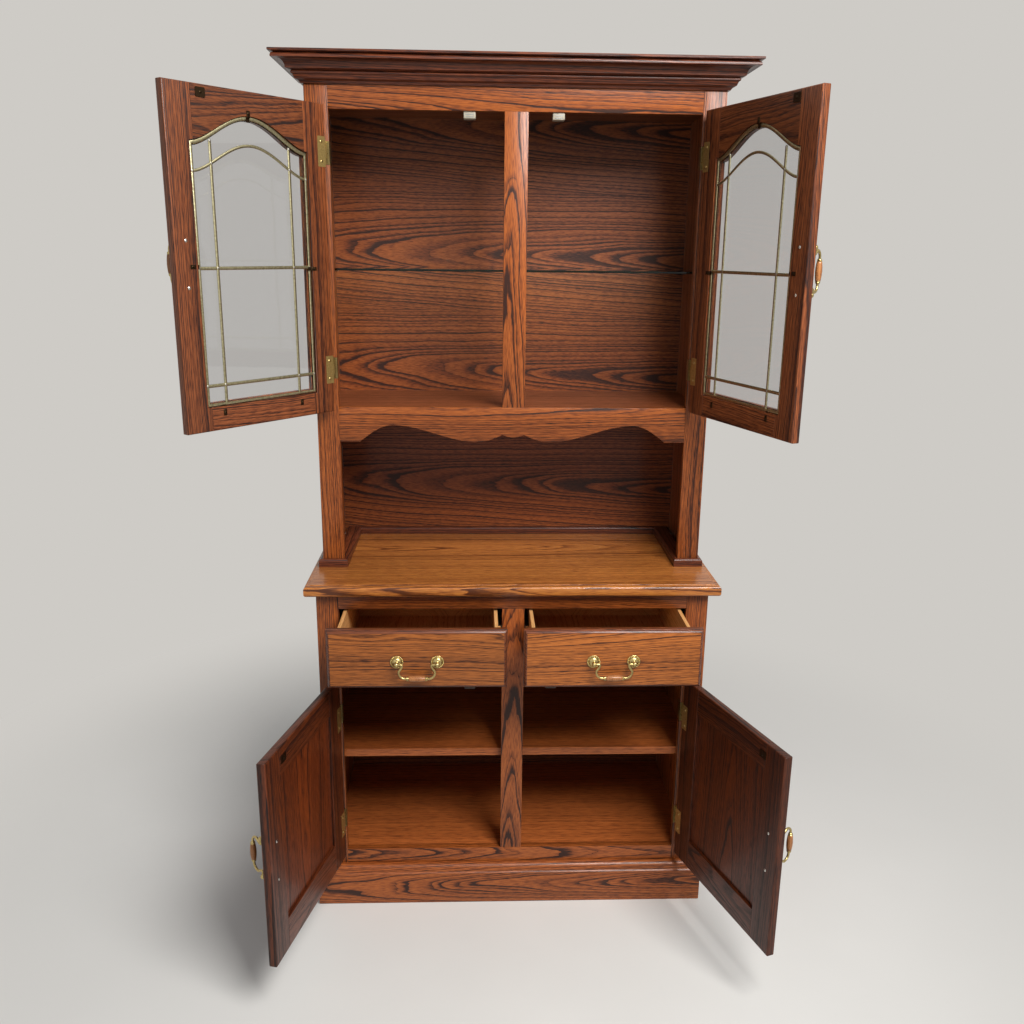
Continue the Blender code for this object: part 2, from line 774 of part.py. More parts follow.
def join_door_leaves(frame, inward, heights):
    """Give a door the leaves and the middle knuckles that turn on the fixed pins."""
    for height in heights:
        leaf = box(
            "leaf",
            (inward * HINGE_OUT, DOOR_BACK - LEAF_T, height - HINGE_H / 2),
            (inward * (HINGE_OUT + LEAF_W), DOOR_BACK + DOOR_GAP / 2, height + HINGE_H / 2),
            CUTTERS,
        )
        bore = HINGE_PIN_R + FIT
        rim = [(KNUCKLE_R, KNUCKLE_H / 2), (KNUCKLE_R, -KNUCKLE_H / 2)]
        hole = [(bore, -KNUCKLE_H / 2), (bore, KNUCKLE_H / 2)]
        knuckle = turned("knuckle", [*rim, *hole, rim[0]], HINGE_SIDES, CUTTERS)
        knuckle.data.transform(Matrix.Translation((0, 0, height)))
        tab = box(
            "tab",
            (inward * (KNUCKLE_R + bore) / 2, -LEAF_T, height - KNUCKLE_H / 2),
            (inward * (HINGE_OUT + LEAF_T), LEAF_T, height + KNUCKLE_H / 2),
            CUTTERS,
        )
        join(frame, leaf, join(knuckle, tab))


# Bail pulls


def post_profile():
    """Domed and beaded rosette, neck and ball, as (radius, height) from the ball down."""
    ball = [
        (radius, POST_REACH + height)
        for radius, height in arc((0, 0), (POST_BALL_R, POST_BALL_R), 90, -50, 3)
    ]
    ball[0] = (0, POST_REACH + POST_BALL_R)
    return [
        *ball,
        (POST_NECK_R, ROSETTE_H * 1.9),
        (ROSETTE_R * 0.42, ROSETTE_H * 1.5),
        (ROSETTE_R * 0.68, ROSETTE_H * 1.1),
        (ROSETTE_R * 0.76, ROSETTE_H * 0.62),
        (ROSETTE_R * 0.90, ROSETTE_H * 0.62),
        (ROSETTE_R, ROSETTE_H * 0.25),
        (ROSETTE_R, 0),
        (0, 0),
    ]


def make_post(name, parent, place, towards):
    """One rosette and post at place on a front face, bored for the bail's end, which points to towards."""
    post = turned(name, post_profile(), ROUND_SIDES)
    bore_r = WIRE_R + FIT + 0.0001
    deep = POST_BALL_R * 0.6
    bore = turned("bore", [(0, 0.02), (bore_r, 0.02), (bore_r, -deep), (0, -deep)], ROUND_SIDES, CUTTERS)
    spin = Vector((0, 0, 1)).rotation_difference(Vector(towards)).to_matrix().to_4x4()
    upright = Matrix.Rotation(math.radians(90), 4, "X")
    seat = Vector(place) - Vector((0, FIT, 0))
    post.data.transform(Matrix.Translation(seat) @ upright)
    pivot = Vector(place) - Vector((0, POST_REACH, 0))
    bore.data.transform(Matrix.Translation(pivot) @ spin)
    finish(cut(post, bore), "antique_brass", parent)


def bail_half():
    """Wire from the post to the grip's middle, as (distance along, drop) with the pull's middle at 0."""
    end = PULL_CENTRES / 2
    shoulder = end - BAIL_SHOULDER
    grip = GRIP_LENGTH / 2
    start = [(end + BAIL_TIP, 0.0), (shoulder + BAIL_CROOK, 0.0)]
    crook = [(shoulder, BAIL_CROOK * 0.6), (shoulder + BAIL_CROOK * 0.4, BAIL_CROOK * 2)]
    bow_middle = (end - BAIL_BOW_INSET - BAIL_BOW_R, BAIL_DROP - BAIL_BOW_R)
    bow = arc(bow_middle, (BAIL_BOW_R, BAIL_BOW_R), -10, 78, 3)
    return [*start, *crook, *bow, (grip - WIRE_R / 2, BAIL_DROP), (grip / 2, BAIL_DROP)]


def grip_profile():
    half = GRIP_LENGTH / 2
    upper = [
        (0, half),
        (GRIP_END_R * 0.75, half),
        (GRIP_END_R, half - GRIP_CAP * 0.4),
        (GRIP_END_R * 0.8, half - GRIP_CAP),
        (GRIP_R * 0.85, half - GRIP_CAP * 1.2),
        (GRIP_R * 0.96, half * 0.42),
    ]
    return [*upper, (GRIP_R, 0), *[(radius, -height) for radius, height in reversed(upper)]]


def make_bail(name, parent, pivot, hanging, turned_by):
    """Wire and turned grip, on an empty at the posts.

    A hanging bail hangs from level posts. One on upright posts stands out, turned by so many degrees.
    """
    axle = bpy.data.objects.new(f"{name}_axle", None)
    PARTS.objects.link(axle)
    axle.parent = parent
    axle.location = pivot
    half = bail_half()
    points = [(0, -drop, along) for along, drop in half]
    points += [(0, -drop, -along) for along, drop in reversed(half)]
    loop = wire(name, points, WIRE_R, WIRE_SIDES)
    grip = turned("grip", grip_profile(), ROUND_SIDES, CUTTERS)
    grip.data.transform(Matrix.Translation((0, -BAIL_DROP, 0)))
    join(loop, grip)
    if hanging:
        axle.rotation_euler = Matrix(((0, 0, 1), (1, 0, 0), (0, 1, 0))).to_euler()
    else:
        axle.rotation_euler.z = math.radians(turned_by)
    finish(loop, "antique_brass", axle)


def make_pull(name, parent, centre, along, turned_by=0.0):
    """A bail pull on a front face. along is the unit vector between its posts."""
    for end, sign in (("a", 1), ("b", -1)):
        place = Vector(centre) + Vector(along) * sign * PULL_CENTRES / 2
        make_post(f"{name}_rosette_{end}", parent, place, -sign * Vector(along))
    pivot = Vector(centre) - Vector((0, POST_REACH, 0))
    make_bail(f"{name}_bail", parent, pivot, abs(along[0]) > 0.5, turned_by)


# Doors


def hinge_empty(name, sign, front, degrees):
    empty = bpy.data.objects.new(name, None)
    PARTS.objects.link(empty)
    empty.location = (sign * (OPEN_X + DOOR_OVERLAY + HINGE_OUT), front - HINGE_FORWARD, 0)
    empty.rotation_euler.z = math.radians(sign * degrees)
    return empty


def arched(inset, low, spring, rise):
    """Closed outline (u, z) of a door opening with an arched top, inset from the door's two sides."""
    half = DOOR_W / 2 - inset
    outline = [(inset, low), (DOOR_W - inset, low)]
    for i in range(ARCH_STEPS + 1):
        t = 1 - 2 * i / ARCH_STEPS
        lift = (0.5 + 0.5 * math.cos(math.pi * t)) ** ARCH_FULLNESS
        outline.append((DOOR_W / 2 + half * t, spring + rise * lift))
    return outline


def on_door(inward, outline):
    """Move an outline from the door's edge to its hinge pin."""
    return [(inward * (HINGE_OUT + u), z) for u, z in outline]


def sight_cutter(inward, low, spring):
    """The arched opening of a glass door, flared at the front so that its front edge is chamfered."""
    stations = [
        (DOOR_FRONT - DOOR_EDGE, REBATE_W - 2 * DOOR_EDGE),
        (DOOR_FRONT + DOOR_EDGE, REBATE_W),
        (DOOR_BACK + DOOR_T, REBATE_W),
    ]
    bm = bmesh.new()
    rings = []
    for depth, inset in stations:
        outline = arched(UPPER_STILE + inset, low + inset, spring - inset, ARCH_RISE)
        rings.append([bm.verts.new((x, depth, z)) for x, z in on_door(inward, outline)])
    bm.faces.new(rings[0])
    bm.faces.new(rings[-1])
    for ring, following in zip(rings, rings[1:]):
        for i in range(len(ring)):
            bm.faces.new((ring[i - 1], ring[i], following[i], following[i - 1]))
    bmesh.ops.recalc_face_normals(bm, faces=bm.faces)
    return from_bmesh("sight", bm, CUTTERS)


def make_upper_door(side, sign, degrees, bail_turn):
    inward = -sign
    name = f"upper_door_{side}"
    empty = hinge_empty(f"{name}_hinge", sign, HUTCH_FRONT, degrees)
    spring = UPPER_HIGH - ARCH_SPRING
    low = UPPER_LOW + UPPER_BOTTOM_RAIL
    rebate = arched(UPPER_STILE, low, spring, ARCH_RISE)
    body = rectangle(0, DOOR_W, UPPER_LOW, UPPER_HIGH)
    frame = plate(f"{name}_frame", [on_door(inward, body)], DOOR_FRONT, DOOR_T, DOOR_EDGE)
    floor_of_rebate = DOOR_BACK - REBATE_D
    cut(frame, plate("rebate", [on_door(inward, rebate)], floor_of_rebate, DOOR_T, group=CUTTERS))
    cut(frame, sight_cutter(inward, low, spring))
    heights = (UPPER_HIGH - HINGE_INSET, UPPER_LOW + HINGE_INSET)
    join_door_leaves(frame, inward, heights)
    finish(frame, "stained_oak", empty)

    fit = UPPER_STILE + FIT
    pane = arched(fit, low + FIT, spring - FIT, ARCH_RISE)
    pane_front = floor_of_rebate + FIT
    glass = plate(f"{name}_glass", [on_door(inward, pane)], pane_front, GLASS_T)
    finish(glass, "clear_glass", empty)
    came_front = pane_front + GLASS_T + FIT
    inside = arched(fit + CAME_BORDER, low + FIT + CAME_BORDER, spring - FIT - CAME_BORDER, ARCH_RISE)
    came = make_came(name, inward, pane, inside, came_front, low, spring)
    finish(came, "antique_brass", empty)
    centre = (inward * (HINGE_OUT + DOOR_W - PULL_FROM_EDGE_UPPER), DOOR_FRONT, (UPPER_LOW + UPPER_HIGH) / 2)
    make_pull(name, empty, centre, (0, 0, 1), sign * bail_turn)


def make_came(name, inward, pane, inside, front, low, spring):
    """Brass came on the pane: a border that follows the arch, two uprights, three bars and an inner arch."""
    came = plate(f"{name}_came", [on_door(inward, pane), on_door(inward, inside)], front, CAME_T)
    left = UPPER_STILE + CAME_BORDER / 2
    right = DOOR_W - left
    uprights = (UPPER_STILE + CAME_SIDE, DOOR_W - UPPER_STILE - CAME_SIDE)
    under_arch = spring - CAME_ARCH_DROP
    for height in (low + CAME_LOW, low + CAME_MID):
        strip = rectangle(left, right, height - CAME_BAR / 2, height + CAME_BAR / 2)
        join(came, plate("strip", [on_door(inward, strip)], front - FIT / 3, CAME_T + FIT, group=CUTTERS))
    for middle in uprights:
        strip = rectangle(middle - CAME_BAR / 2, middle + CAME_BAR / 2, low + CAME_BORDER / 2, spring + 0.004)
        join(came, plate("strip", [on_door(inward, strip)], front - FIT / 2, CAME_T + FIT / 2, group=CUTTERS))
    upper = arched(UPPER_STILE + CAME_BORDER / 2, 0, under_arch, ARCH_RISE)[2:]
    lower = [(u, z - CAME_ARCH) for u, z in reversed(upper)]
    arch = plate("arch", [on_door(inward, upper + lower)], front - FIT / 4, CAME_T + FIT / 5, group=CUTTERS)
    return join(came, arch)


def make_lower_door(side, sign, degrees, bail_turn):
    inward = -sign
    name = f"lower_door_{side}"
    empty = hinge_empty(f"{name}_hinge", sign, BASE_FRONT, degrees)
    low = LOWER_LOW + LOWER_BOTTOM_RAIL
    high = LOWER_HIGH - LOWER_TOP_RAIL
    body = rectangle(0, DOOR_W, LOWER_LOW, LOWER_HIGH)
    opening = rectangle(LOWER_STILE, DOOR_W - LOWER_STILE, low, high)
    outlines = [on_door(inward, body), on_door(inward, opening)]
    frame = plate(f"{name}_frame", outlines, DOOR_FRONT, DOOR_T, DOOR_EDGE)
    groove_back = DOOR_BACK - PANEL_RECESS
    groove = box(
        "groove",
        (inward * (HINGE_OUT + LOWER_STILE - PANEL_TONGUE), groove_back, low - PANEL_TONGUE),
        (
            inward * (HINGE_OUT + DOOR_W - LOWER_STILE + PANEL_TONGUE),
            groove_back - PANEL_TONGUE_T,
            high + PANEL_TONGUE,
        ),
        CUTTERS,
    )
    cut(frame, groove)
    join_door_leaves(frame, inward, (LOWER_HIGH - HINGE_INSET, LOWER_LOW + HINGE_INSET))
    finish(frame, "stained_oak", empty)
    finish(make_panel(f"{name}_panel", inward, low, high, groove_back), "panel_oak", empty)
    centre = (inward * (HINGE_OUT + DOOR_W - LOWER_STILE / 2), DOOR_FRONT, (LOWER_LOW + LOWER_HIGH) / 2)
    make_pull(name, empty, centre, (0, 0, 1), sign * bail_turn)


def make_panel(name, inward, low, high, back):
    """Raised panel: a tongue in the frame's groove, a fillet, a sloped border and a flat field."""
    reach = PANEL_TONGUE - FIT
    bm = cube_mesh(
        (inward * (HINGE_OUT + LOWER_STILE - reach), back - FIT, low - reach),
        (
            inward * (HINGE_OUT + DOOR_W - LOWER_STILE + reach),
            back - PANEL_TONGUE_T + FIT,
            high + reach,
        ),
    )
    bm.normal_update()
    field = min(bm.faces, key=lambda face: face.normal.y)
    bmesh.ops.inset_region(bm, faces=[field], thickness=reach + PANEL_MARGIN)
    bmesh.ops.inset_region(bm, faces=[field], thickness=PANEL_SLOPE_W, depth=PANEL_SLOPE_D)
    bmesh.ops.inset_region(bm, faces=[field], thickness=PANEL_STEP / 2, depth=PANEL_STEP)
    return from_bmesh(name, bm)


# Drawers


def make_drawer(side, sign, pulled):
    empty = bpy.data.objects.new(f"drawer_{side}_slide", None)
    PARTS.objects.link(empty)
    empty.location.y = BASE_FRONT - pulled
    inner = CENTRE_W / 2 - DRAWER_OVERLAY
    outer = OPEN_X + DRAWER_OVERLAY
    low = DRAWER_FLOOR - DRAWER_OVERLAY
    high = DRAWER_CEILING + DRAWER_OVERLAY
    back = -DRAWER_GAP
    face = back - DRAWER_FRONT_T
    front = make_drawer_front(f"drawer_{side}_front", (sign * inner, low), (sign * outer, high), back)
    finish(front, "stained_oak", empty)
    finish(make_drawer_box(f"drawer_{side}_box", sign), "maple", empty)
    centre = (sign * (inner + outer) / 2, face, (low + high) / 2 - DRAWER_PULL_DROP)
    make_pull(f"drawer_{side}", empty, centre, (1, 0, 0))


def make_drawer_front(name, corner_a, corner_b, back):
    """Lipped front: a square lip, a fillet and a sloped edge round a flat face."""
    bm = cube_mesh(
        (corner_a[0], back - DRAWER_EDGE_T, corner_a[1]),
        (corner_b[0], back, corner_b[1]),
    )
    bm.normal_update()
    face = min(bm.faces, key=lambda item: item.normal.y)
    bmesh.ops.inset_region(bm, faces=[face], thickness=DRAWER_FILLET)
    rise = DRAWER_FRONT_T - DRAWER_EDGE_T
    bmesh.ops.inset_region(bm, faces=[face], thickness=DRAWER_SLOPE * 0.4, depth=rise * 0.7)
    bmesh.ops.inset_region(bm, faces=[face], thickness=DRAWER_SLOPE * 0.6, depth=rise * 0.3)
    return from_bmesh(name, bm)


def make_drawer_box(name, sign):
    """Open box with its bottom let in above the sides' feet, and a runner strip on each side."""
    inner = CENTRE_W / 2 + RUNNER_SPACE
    outer = OPEN_X - RUNNER_SPACE
    low = DRAWER_FLOOR + DRAWER_PLAY
    high = DRAWER_CEILING - DRAWER_PLAY
    start = -DRAWER_GAP + FIT
    bm = cube_mesh((sign * inner, start, low), (sign * outer, start + DRAWER_LENGTH, high))
    bm.normal_update()
    pocket(bm, (0, 0, -1), DRAWER_SIDE_T, DRAWER_BOTTOM_T)
    bm.normal_update()
    pocket(bm, (0, 0, 1), DRAWER_SIDE_T, high - low - 2 * DRAWER_BOTTOM_T)
    drawer = from_bmesh(name, bm)
    middle = (DRAWER_FLOOR + DRAWER_CEILING) / 2
    half = RUNNER_H / 2 - RUNNER_T - FIT
    for edge, way in ((inner, -1), (outer, 1)):
        strip = box(
            "strip",
            (sign * (edge - way * DRAWER_SIDE_T / 2), start + RUNNER_STRIP_SETBACK, middle - half),
            (sign * (edge + way * RUNNER_STRIP), start + DRAWER_LENGTH, middle + half),
            CUTTERS,
        )
        join(drawer, strip)
    return drawer


def shade_round_pieces():
    for obj in PARTS.objects:
        if obj.type != "MESH":
            continue
        if any(word in obj.name for word in ("rosette", "bail", "hinge")):
            obj.data.shade_smooth()
            obj.data.set_sharp_from_angle(angle=math.radians(40))


def main():
    make_materials()
    make_plinth()
    make_base_carcass()
    make_base_face_frame()
    make_tabletop()
    make_runners()
    make_hutch_carcass()
    make_hutch_face_frame()
    make_crown()
    make_foot_moulding()
    make_hinges()
    for index, (side, sign) in enumerate(SIDES.items()):
        make_upper_door(side, sign, UPPER_OPEN[index], UPPER_BAIL_TURN[index])
        make_lower_door(side, sign, LOWER_OPEN[index], LOWER_BAIL_TURN[index])
        make_drawer(side, sign, DRAWER_PULLED[index])
    shade_round_pieces()


clear_scene()
PARTS = make_collection("China cabinet")
CUTTERS = make_collection("Cutters")
main()
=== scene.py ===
"""China cabinet in stained oak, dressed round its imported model.

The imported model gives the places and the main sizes. Boards are sawn, glued up and moulded here, with cames,
hinges, bail pulls and small fittings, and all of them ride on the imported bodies.
"""

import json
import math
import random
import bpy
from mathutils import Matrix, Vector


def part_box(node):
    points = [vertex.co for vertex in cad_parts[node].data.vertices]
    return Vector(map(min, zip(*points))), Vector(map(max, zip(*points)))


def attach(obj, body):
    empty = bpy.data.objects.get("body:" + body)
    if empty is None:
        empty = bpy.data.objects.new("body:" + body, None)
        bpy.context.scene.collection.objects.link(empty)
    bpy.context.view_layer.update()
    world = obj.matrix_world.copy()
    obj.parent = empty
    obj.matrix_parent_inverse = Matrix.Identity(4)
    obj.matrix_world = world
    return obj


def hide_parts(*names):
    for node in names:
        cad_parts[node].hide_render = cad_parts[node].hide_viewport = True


bl_info = {
    "name": "China cabinet",
    "version": (1, 0, 0),
    "blender": (4, 5, 0),
    "location": "View3D > Sidebar > Cabinet",
    "description": "Dresses a china cabinet in stained oak, glass and brass",
    "category": "Object",
}

import bmesh
import bpy
from bpy.props import FloatProperty, FloatVectorProperty, IntProperty, PointerProperty
from mathutils import Matrix, Vector

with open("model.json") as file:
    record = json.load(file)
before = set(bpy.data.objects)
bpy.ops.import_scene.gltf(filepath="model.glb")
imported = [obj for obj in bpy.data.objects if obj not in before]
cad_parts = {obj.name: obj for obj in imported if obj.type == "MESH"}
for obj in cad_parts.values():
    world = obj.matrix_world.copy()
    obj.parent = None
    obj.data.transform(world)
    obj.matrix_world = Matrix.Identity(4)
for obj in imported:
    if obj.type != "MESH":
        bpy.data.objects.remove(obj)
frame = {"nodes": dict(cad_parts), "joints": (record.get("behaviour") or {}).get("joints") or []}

JOINTS = {joint["name"]: joint for joint in frame["joints"]}
SIDES = {"left": -1, "right": 1}
X, Y, Z = 0, 1, 2
NEAR = 0.00005  # two places closer than this are one
FIT = 0.0003  # gap where two pieces touch

# How dark the fronts are, since the photographed left and right ones differ
DRAWER_TONE = {"left": 0.80, "right": 1.08}
# The lower doors' values are painted shade, deepest on the right door, whose face turns away from the key
# lamp.
LOWER_DOOR_PAINTED_SHADE = {"left": 0.95, "right": 0.75}

# Doors and hinges, measured from the hinge pin
DOOR_FRONT = -0.007
DOOR_BACK = 0.012
DOOR_T = DOOR_BACK - DOOR_FRONT
HINGE_HALF = 0.031  # half the height of a hinge
KNUCKLE = 0.0035  # radius of its barrel
OUTER_KNUCKLE = 0.0103  # from a hinge's middle to its outer knuckles
SCREW_UP = 0.020  # from a hinge's middle to its screws
LEAF_CORNER = 0.002  # rounding of a leaf's corners
# A finial's profile: shares of the knuckle's radius, and heights over the end of the hinge
FINIAL = (
    (1, -0.0012), (0.80, -0.0006), (1.05, 0.0006), (1.15, 0.0025), (0.95, 0.0042), (0.45, 0.0052),
    (0.42, 0.0066), (0.72, 0.0085), (0.84, 0.0106), (0.72, 0.0124), (0.40, 0.0142), (0.08, 0.0149),
)

# Came work
UPRIGHT_IN = 0.048  # from the glass's edge to an upright
UPRIGHT_PAST = 0.003  # how far the uprights run past the arch's ends
BARS_UP = (0.043, 0.273)  # from the glass's foot to the bars
INNER_DOWN = 0.055  # from the arch's ends down to the inner arch's
INNER_SHARE = 0.85  # width of the inner arch against a bar's
CAME_Y = 0.0081  # middle of the came work's depth
CAME_HALF_T = 0.0015
SOLDER = 0.0034  # radius of a dot of solder, which is pressed flat
SOLDER_OUT = 0.0002  # how far the dots lie behind the cames' middle

# Bail pulls: radii and heights of a rosette up to its neck, and of the caps between wire and grip
ENDS = {"a": 1, "b": -1}
ROSETTE = (
    (0.0142, 0.0), (0.0146, 0.0006), (0.0146, 0.0014), (0.0140, 0.0019), (0.0120, 0.0017),
    (0.0114, 0.0021), (0.0110, 0.0033), (0.0098, 0.0050), (0.0080, 0.0064), (0.0058, 0.0073),
    (0.0044, 0.0077), (0.0038, 0.0084), (0.0033, 0.0096), (0.0033, 0.0110),
)
FERRULE = (
    (0.0030, 0.0182), (0.0050, 0.0184), (0.0052, 0.0196), (0.0044, 0.0204), (0.0048, 0.0212),
    (0.0047, 0.0222), (0.0036, 0.0234), (0.0026, 0.0243), (0.0020, 0.0246),
)

# Small fittings
BACKWARD, FORWARD = (0, 1, 0), (0, -1, 0)  # the ways that screws and rosettes face
STAMPED = 0.0003  # rounding of stamped metal's edges
CATCH_X = {"left": 0.102, "right": 0.092}  # from the middle of the cabinet to each magnetic catch
CATCH_BACK = 0.0045  # from the face frame's front back to the catches
STRIKE_DOWN = {"upper": 0.015, "lower": 0.029}  # from a door's top down to the middle of its strike
# Glass clips: in from the hinged edge, down from the door's top, and their turn in degrees
CLIPS = (
    (0.201, 0.048, 0), (0.348, 0.333, 90), (0.051, 0.339, -90), (0.302, 0.616, 180), (0.097, 0.619, 180),
)
CLIP_OUT = 0.0002  # from a door's back to its clips

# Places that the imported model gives
CASE_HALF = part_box("hutch_side_right")[1].x
BASE_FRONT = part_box("base_face_frame")[0].y
HUTCH_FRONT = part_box("hutch_face_frame")[0].y
FRAME_FRONT = {"base": BASE_FRONT, "hutch": HUTCH_FRONT}
FRAME_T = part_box("base_side_left")[0].y - BASE_FRONT - FIT
BACK_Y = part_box("base_back")[1].y
BACK_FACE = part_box("base_back")[0].y
BASE_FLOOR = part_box("base_floor")[1].z
TABLE_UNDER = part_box("tabletop")[0].z
TABLE_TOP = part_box("tabletop")[1].z
HUTCH_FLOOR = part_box("hutch_floor")[1].z
HUTCH_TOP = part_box("hutch_side_left")[1].z


def linear(code):
    """Linear colour of an sRGB hex code."""
    channels = [int(code[i : i + 2], 16) / 255 for i in (0, 2, 4)]
    return tuple(c / 12.92 if c <= 0.04045 else ((c + 0.055) / 1.055) ** 2.4 for c in channels)


BACKGROUND = linear("cecbc6")


def length_setting(name, description, default):
    return FloatProperty(name=name, description=description, default=default, unit="LENGTH", precision=4)


def colour_setting(name, description, code):
    return FloatVectorProperty(
        name=name, description=description, default=linear(code), subtype="COLOR", min=0.0, max=1.0
    )


class CabinetSizes(bpy.types.PropertyGroup):
    """Sizes of the sticks, doors and fittings."""

    stile: length_setting("Stile", "Width of the outer stiles of both face frames", 0.0505)
    centre_stile: length_setting("Centre stile", "Width of the centre stiles", 0.052)
    mid_rail: length_setting("Middle rail", "Height of the base's middle rail over the floor", 0.604)
    drawer_floor: length_setting("Drawer opening", "Height of the drawer openings' sills", 0.660)
    top_rail: length_setting("Top rail", "Height of the underside of the base's top rail", 0.781)
    toe: length_setting("Toe", "Height of the underside of the base's bottom rail", 0.083)
    valance: length_setting("Valance", "Height of the valance's ends", 1.151)
    lintel: length_setting("Lintel", "Height of the top of the hutch's door openings", 1.878)
    ease: length_setting("Eased edge", "Rounding of an ordinary edge of a board", 0.0005)
    door_edge: length_setting("Door edge", "Rounding of the doors' outer edges", 0.0030)
    door_width: length_setting("Door width", "Width of every door", 0.3925)
    hinge_out: length_setting("Hinge pin", "From a door's edge out to its hinge pin", 0.005)
    upper_stile: length_setting("Upper door stile", "Width up to the glass rebate", 0.051)
    upper_rail: length_setting("Upper door rail", "Height of the bottom rail up to the rebate", 0.048)
    rebate: length_setting("Rebate", "Width and depth of the glass rebate", 0.009)
    arch_spring: length_setting("Arch spring", "From a door's top down to the ends of its arch", 0.101)
    arch_rise: length_setting("Arch rise", "Height of the arch over its ends", 0.055)
    lower_stile: length_setting("Lower door stile", "Width of the stiles", 0.064)
    lower_rail: length_setting("Lower door bottom rail", "Height of the bottom rail", 0.072)
    lower_top_rail: length_setting("Lower door top rail", "Height of the top rail", 0.060)
    came_border: length_setting("Came border", "Width of the came round the glass", 0.0085)
    came_bar: length_setting("Came bar", "Width of the cames across the glass", 0.0070)
    pull_centres: length_setting("Pull centres", "From post to post of a bail pull", 0.0889)
    post_reach: length_setting("Post reach", "From a front to the middle of a post's ball", 0.0165)
    bail_drop: length_setting("Bail drop", "From the posts to the middle of the grip", 0.033)


class CabinetFinish(bpy.types.PropertyGroup):
    """Colours of the finishes."""

    latewood: colour_setting("Late wood", "Pale dense wood between the rings", "a55a27")
    earlywood: colour_setting("Early wood", "Body of the stained rings", "80401a")
    pores: colour_setting("Pores", "Stain gathered in the open pores", "2e1308")
    brass: colour_setting("Brass", "Aged polished brass", "c9b47a")
    steel: colour_setting("Steel", "Zinc plated steel", "a3a6a8")
    turning: IntProperty(name="Turning steps", description="Sides of turned pieces", default=32, min=12)


# Modelling


def to_object_mode():
    if bpy.context.mode != "OBJECT":
        bpy.ops.object.mode_set(mode="OBJECT")


def deselect_all():
    to_object_mode()
    bpy.ops.object.select_all(action="DESELECT")


def choose(piece):
    """Make piece the only selected object."""
    deselect_all()
    piece.select_set(True)
    bpy.context.view_layer.objects.active = piece
    return piece


def rename(piece, name):
    piece.name = name
    piece.data.name = name
    return piece


def named(name):
    """Name the primitive that was just added, and settle its place into its mesh."""
    piece = choose(rename(bpy.context.active_object, name))
    bpy.ops.object.transform_apply(location=True, rotation=True, scale=True)
    return piece


def add_box(name, corner_a, corner_b):
    low = Vector(map(min, corner_a, corner_b))
    high = Vector(map(max, corner_a, corner_b))
    deselect_all()
    bpy.ops.mesh.primitive_cube_add(size=1.0, location=(low + high) / 2)
    bpy.context.active_object.scale = high - low
    return named(name)


def add_ball(name, radius, segments, rings):
    deselect_all()
    bpy.ops.mesh.primitive_uv_sphere_add(segments=segments, ring_count=rings, radius=radius)
    return smooth(named(name), 80)


def pick(piece, kind, test):
    """Open a piece in edit mode with only the edges or faces that pass the test selected."""
    choose(piece)
    bpy.ops.object.mode_set(mode="EDIT")
    bpy.ops.mesh.select_mode(type=kind)
    bpy.ops.mesh.select_all(action="DESELECT")
    shape = bmesh.from_edit_mesh(piece.data)
    for item in shape.edges if kind == "EDGE" else shape.faces:
        if test(item):
            item.select_set(True)
    bmesh.update_edit_mesh(piece.data)


def through(axis):
    """Test for edges that run through a plate along an axis."""
    return lambda edge: abs(edge.verts[0].co[axis] - edge.verts[1].co[axis]) > 10 * NEAR


def on_rim(rim, thin):
    """Test for edges in one of the rim's (axis, place) planes that don't run along the thin axis."""

    def test(edge):
        a, b = (vert.co for vert in edge.verts)
        flat = abs(a[thin] - b[thin]) < NEAR
        return flat and any(abs(a[i] - at) < NEAR and abs(b[i] - at) < NEAR for i, at in rim)

    return test


def round_edges(piece, test, offset, segments=4):
    pick(piece, "EDGE", test)
    bpy.ops.mesh.bevel(offset=offset, segments=segments, profile=0.5, affect="EDGES")
    to_object_mode()
    return piece


def raise_face(piece, axis, way, steps):
    """Inset the face that looks way along an axis by (width, rise) steps."""
    pick(piece, "FACE", lambda face: face.normal[axis] * way > 0.9)
    for width, rise in steps:
        bpy.ops.mesh.inset(thickness=width, depth=rise)
    to_object_mode()


def apply_modifier(piece, kind, **settings):
    modifier = piece.modifiers.new(kind.title(), kind)
    for key, value in settings.items():
        setattr(modifier, key, value)
    choose(piece)
    bpy.ops.object.modifier_apply(modifier=modifier.name)
    return piece


def smooth(piece, degrees=35):
    choose(piece)
    bpy.ops.object.shade_smooth_by_angle(angle=math.radians(degrees))
    return piece


def ease(piece, width, segments=2):
    """Take the sharpness off every edge."""
    corner = math.radians(30)
    apply_modifier(
        piece, "BEVEL", width=width, segments=segments, limit_method="ANGLE", angle_limit=corner
    )
    apply_modifier(piece, "WELD", merge_threshold=width / 8)
    return smooth(piece)


def carve(piece, cutter):
    return apply_modifier(piece, "BOOLEAN", operation="DIFFERENCE", solver="EXACT", object=cutter)


def discard(*pieces):
    for piece in pieces:
        bpy.data.objects.remove(piece, do_unlink=True)


moved = Matrix.Translation


def spun(degrees, axis):
    return Matrix.Rotation(math.radians(degrees), 4, axis)


def stretched(x, y, z):
    return Matrix.Diagonal((x, y, z, 1))


def facing(direction):
    """Rotation that turns +Z to the direction."""
    return Vector((0, 0, 1)).rotation_difference(Vector(direction)).to_matrix().to_4x4()


def place(piece, matrix):
    """Move a piece's mesh, so that its object stays at the origin."""
    piece.data.transform(matrix)
    if matrix.determinant() < 0:
        piece.data.flip_normals()
    return piece


def copy_of(master, name, matrix):
    """A copy with its own mesh, moved from where the master was drawn."""
    piece = master.copy()
    piece.data = master.data.copy()
    bpy.context.scene.collection.objects.link(piece)
    return place(rename(piece, name), matrix)


def joined(name, pieces):
    choose(pieces[0])
    for piece in pieces:
        piece.select_set(True)
    bpy.ops.object.join()
    return rename(bpy.context.active_object, name)


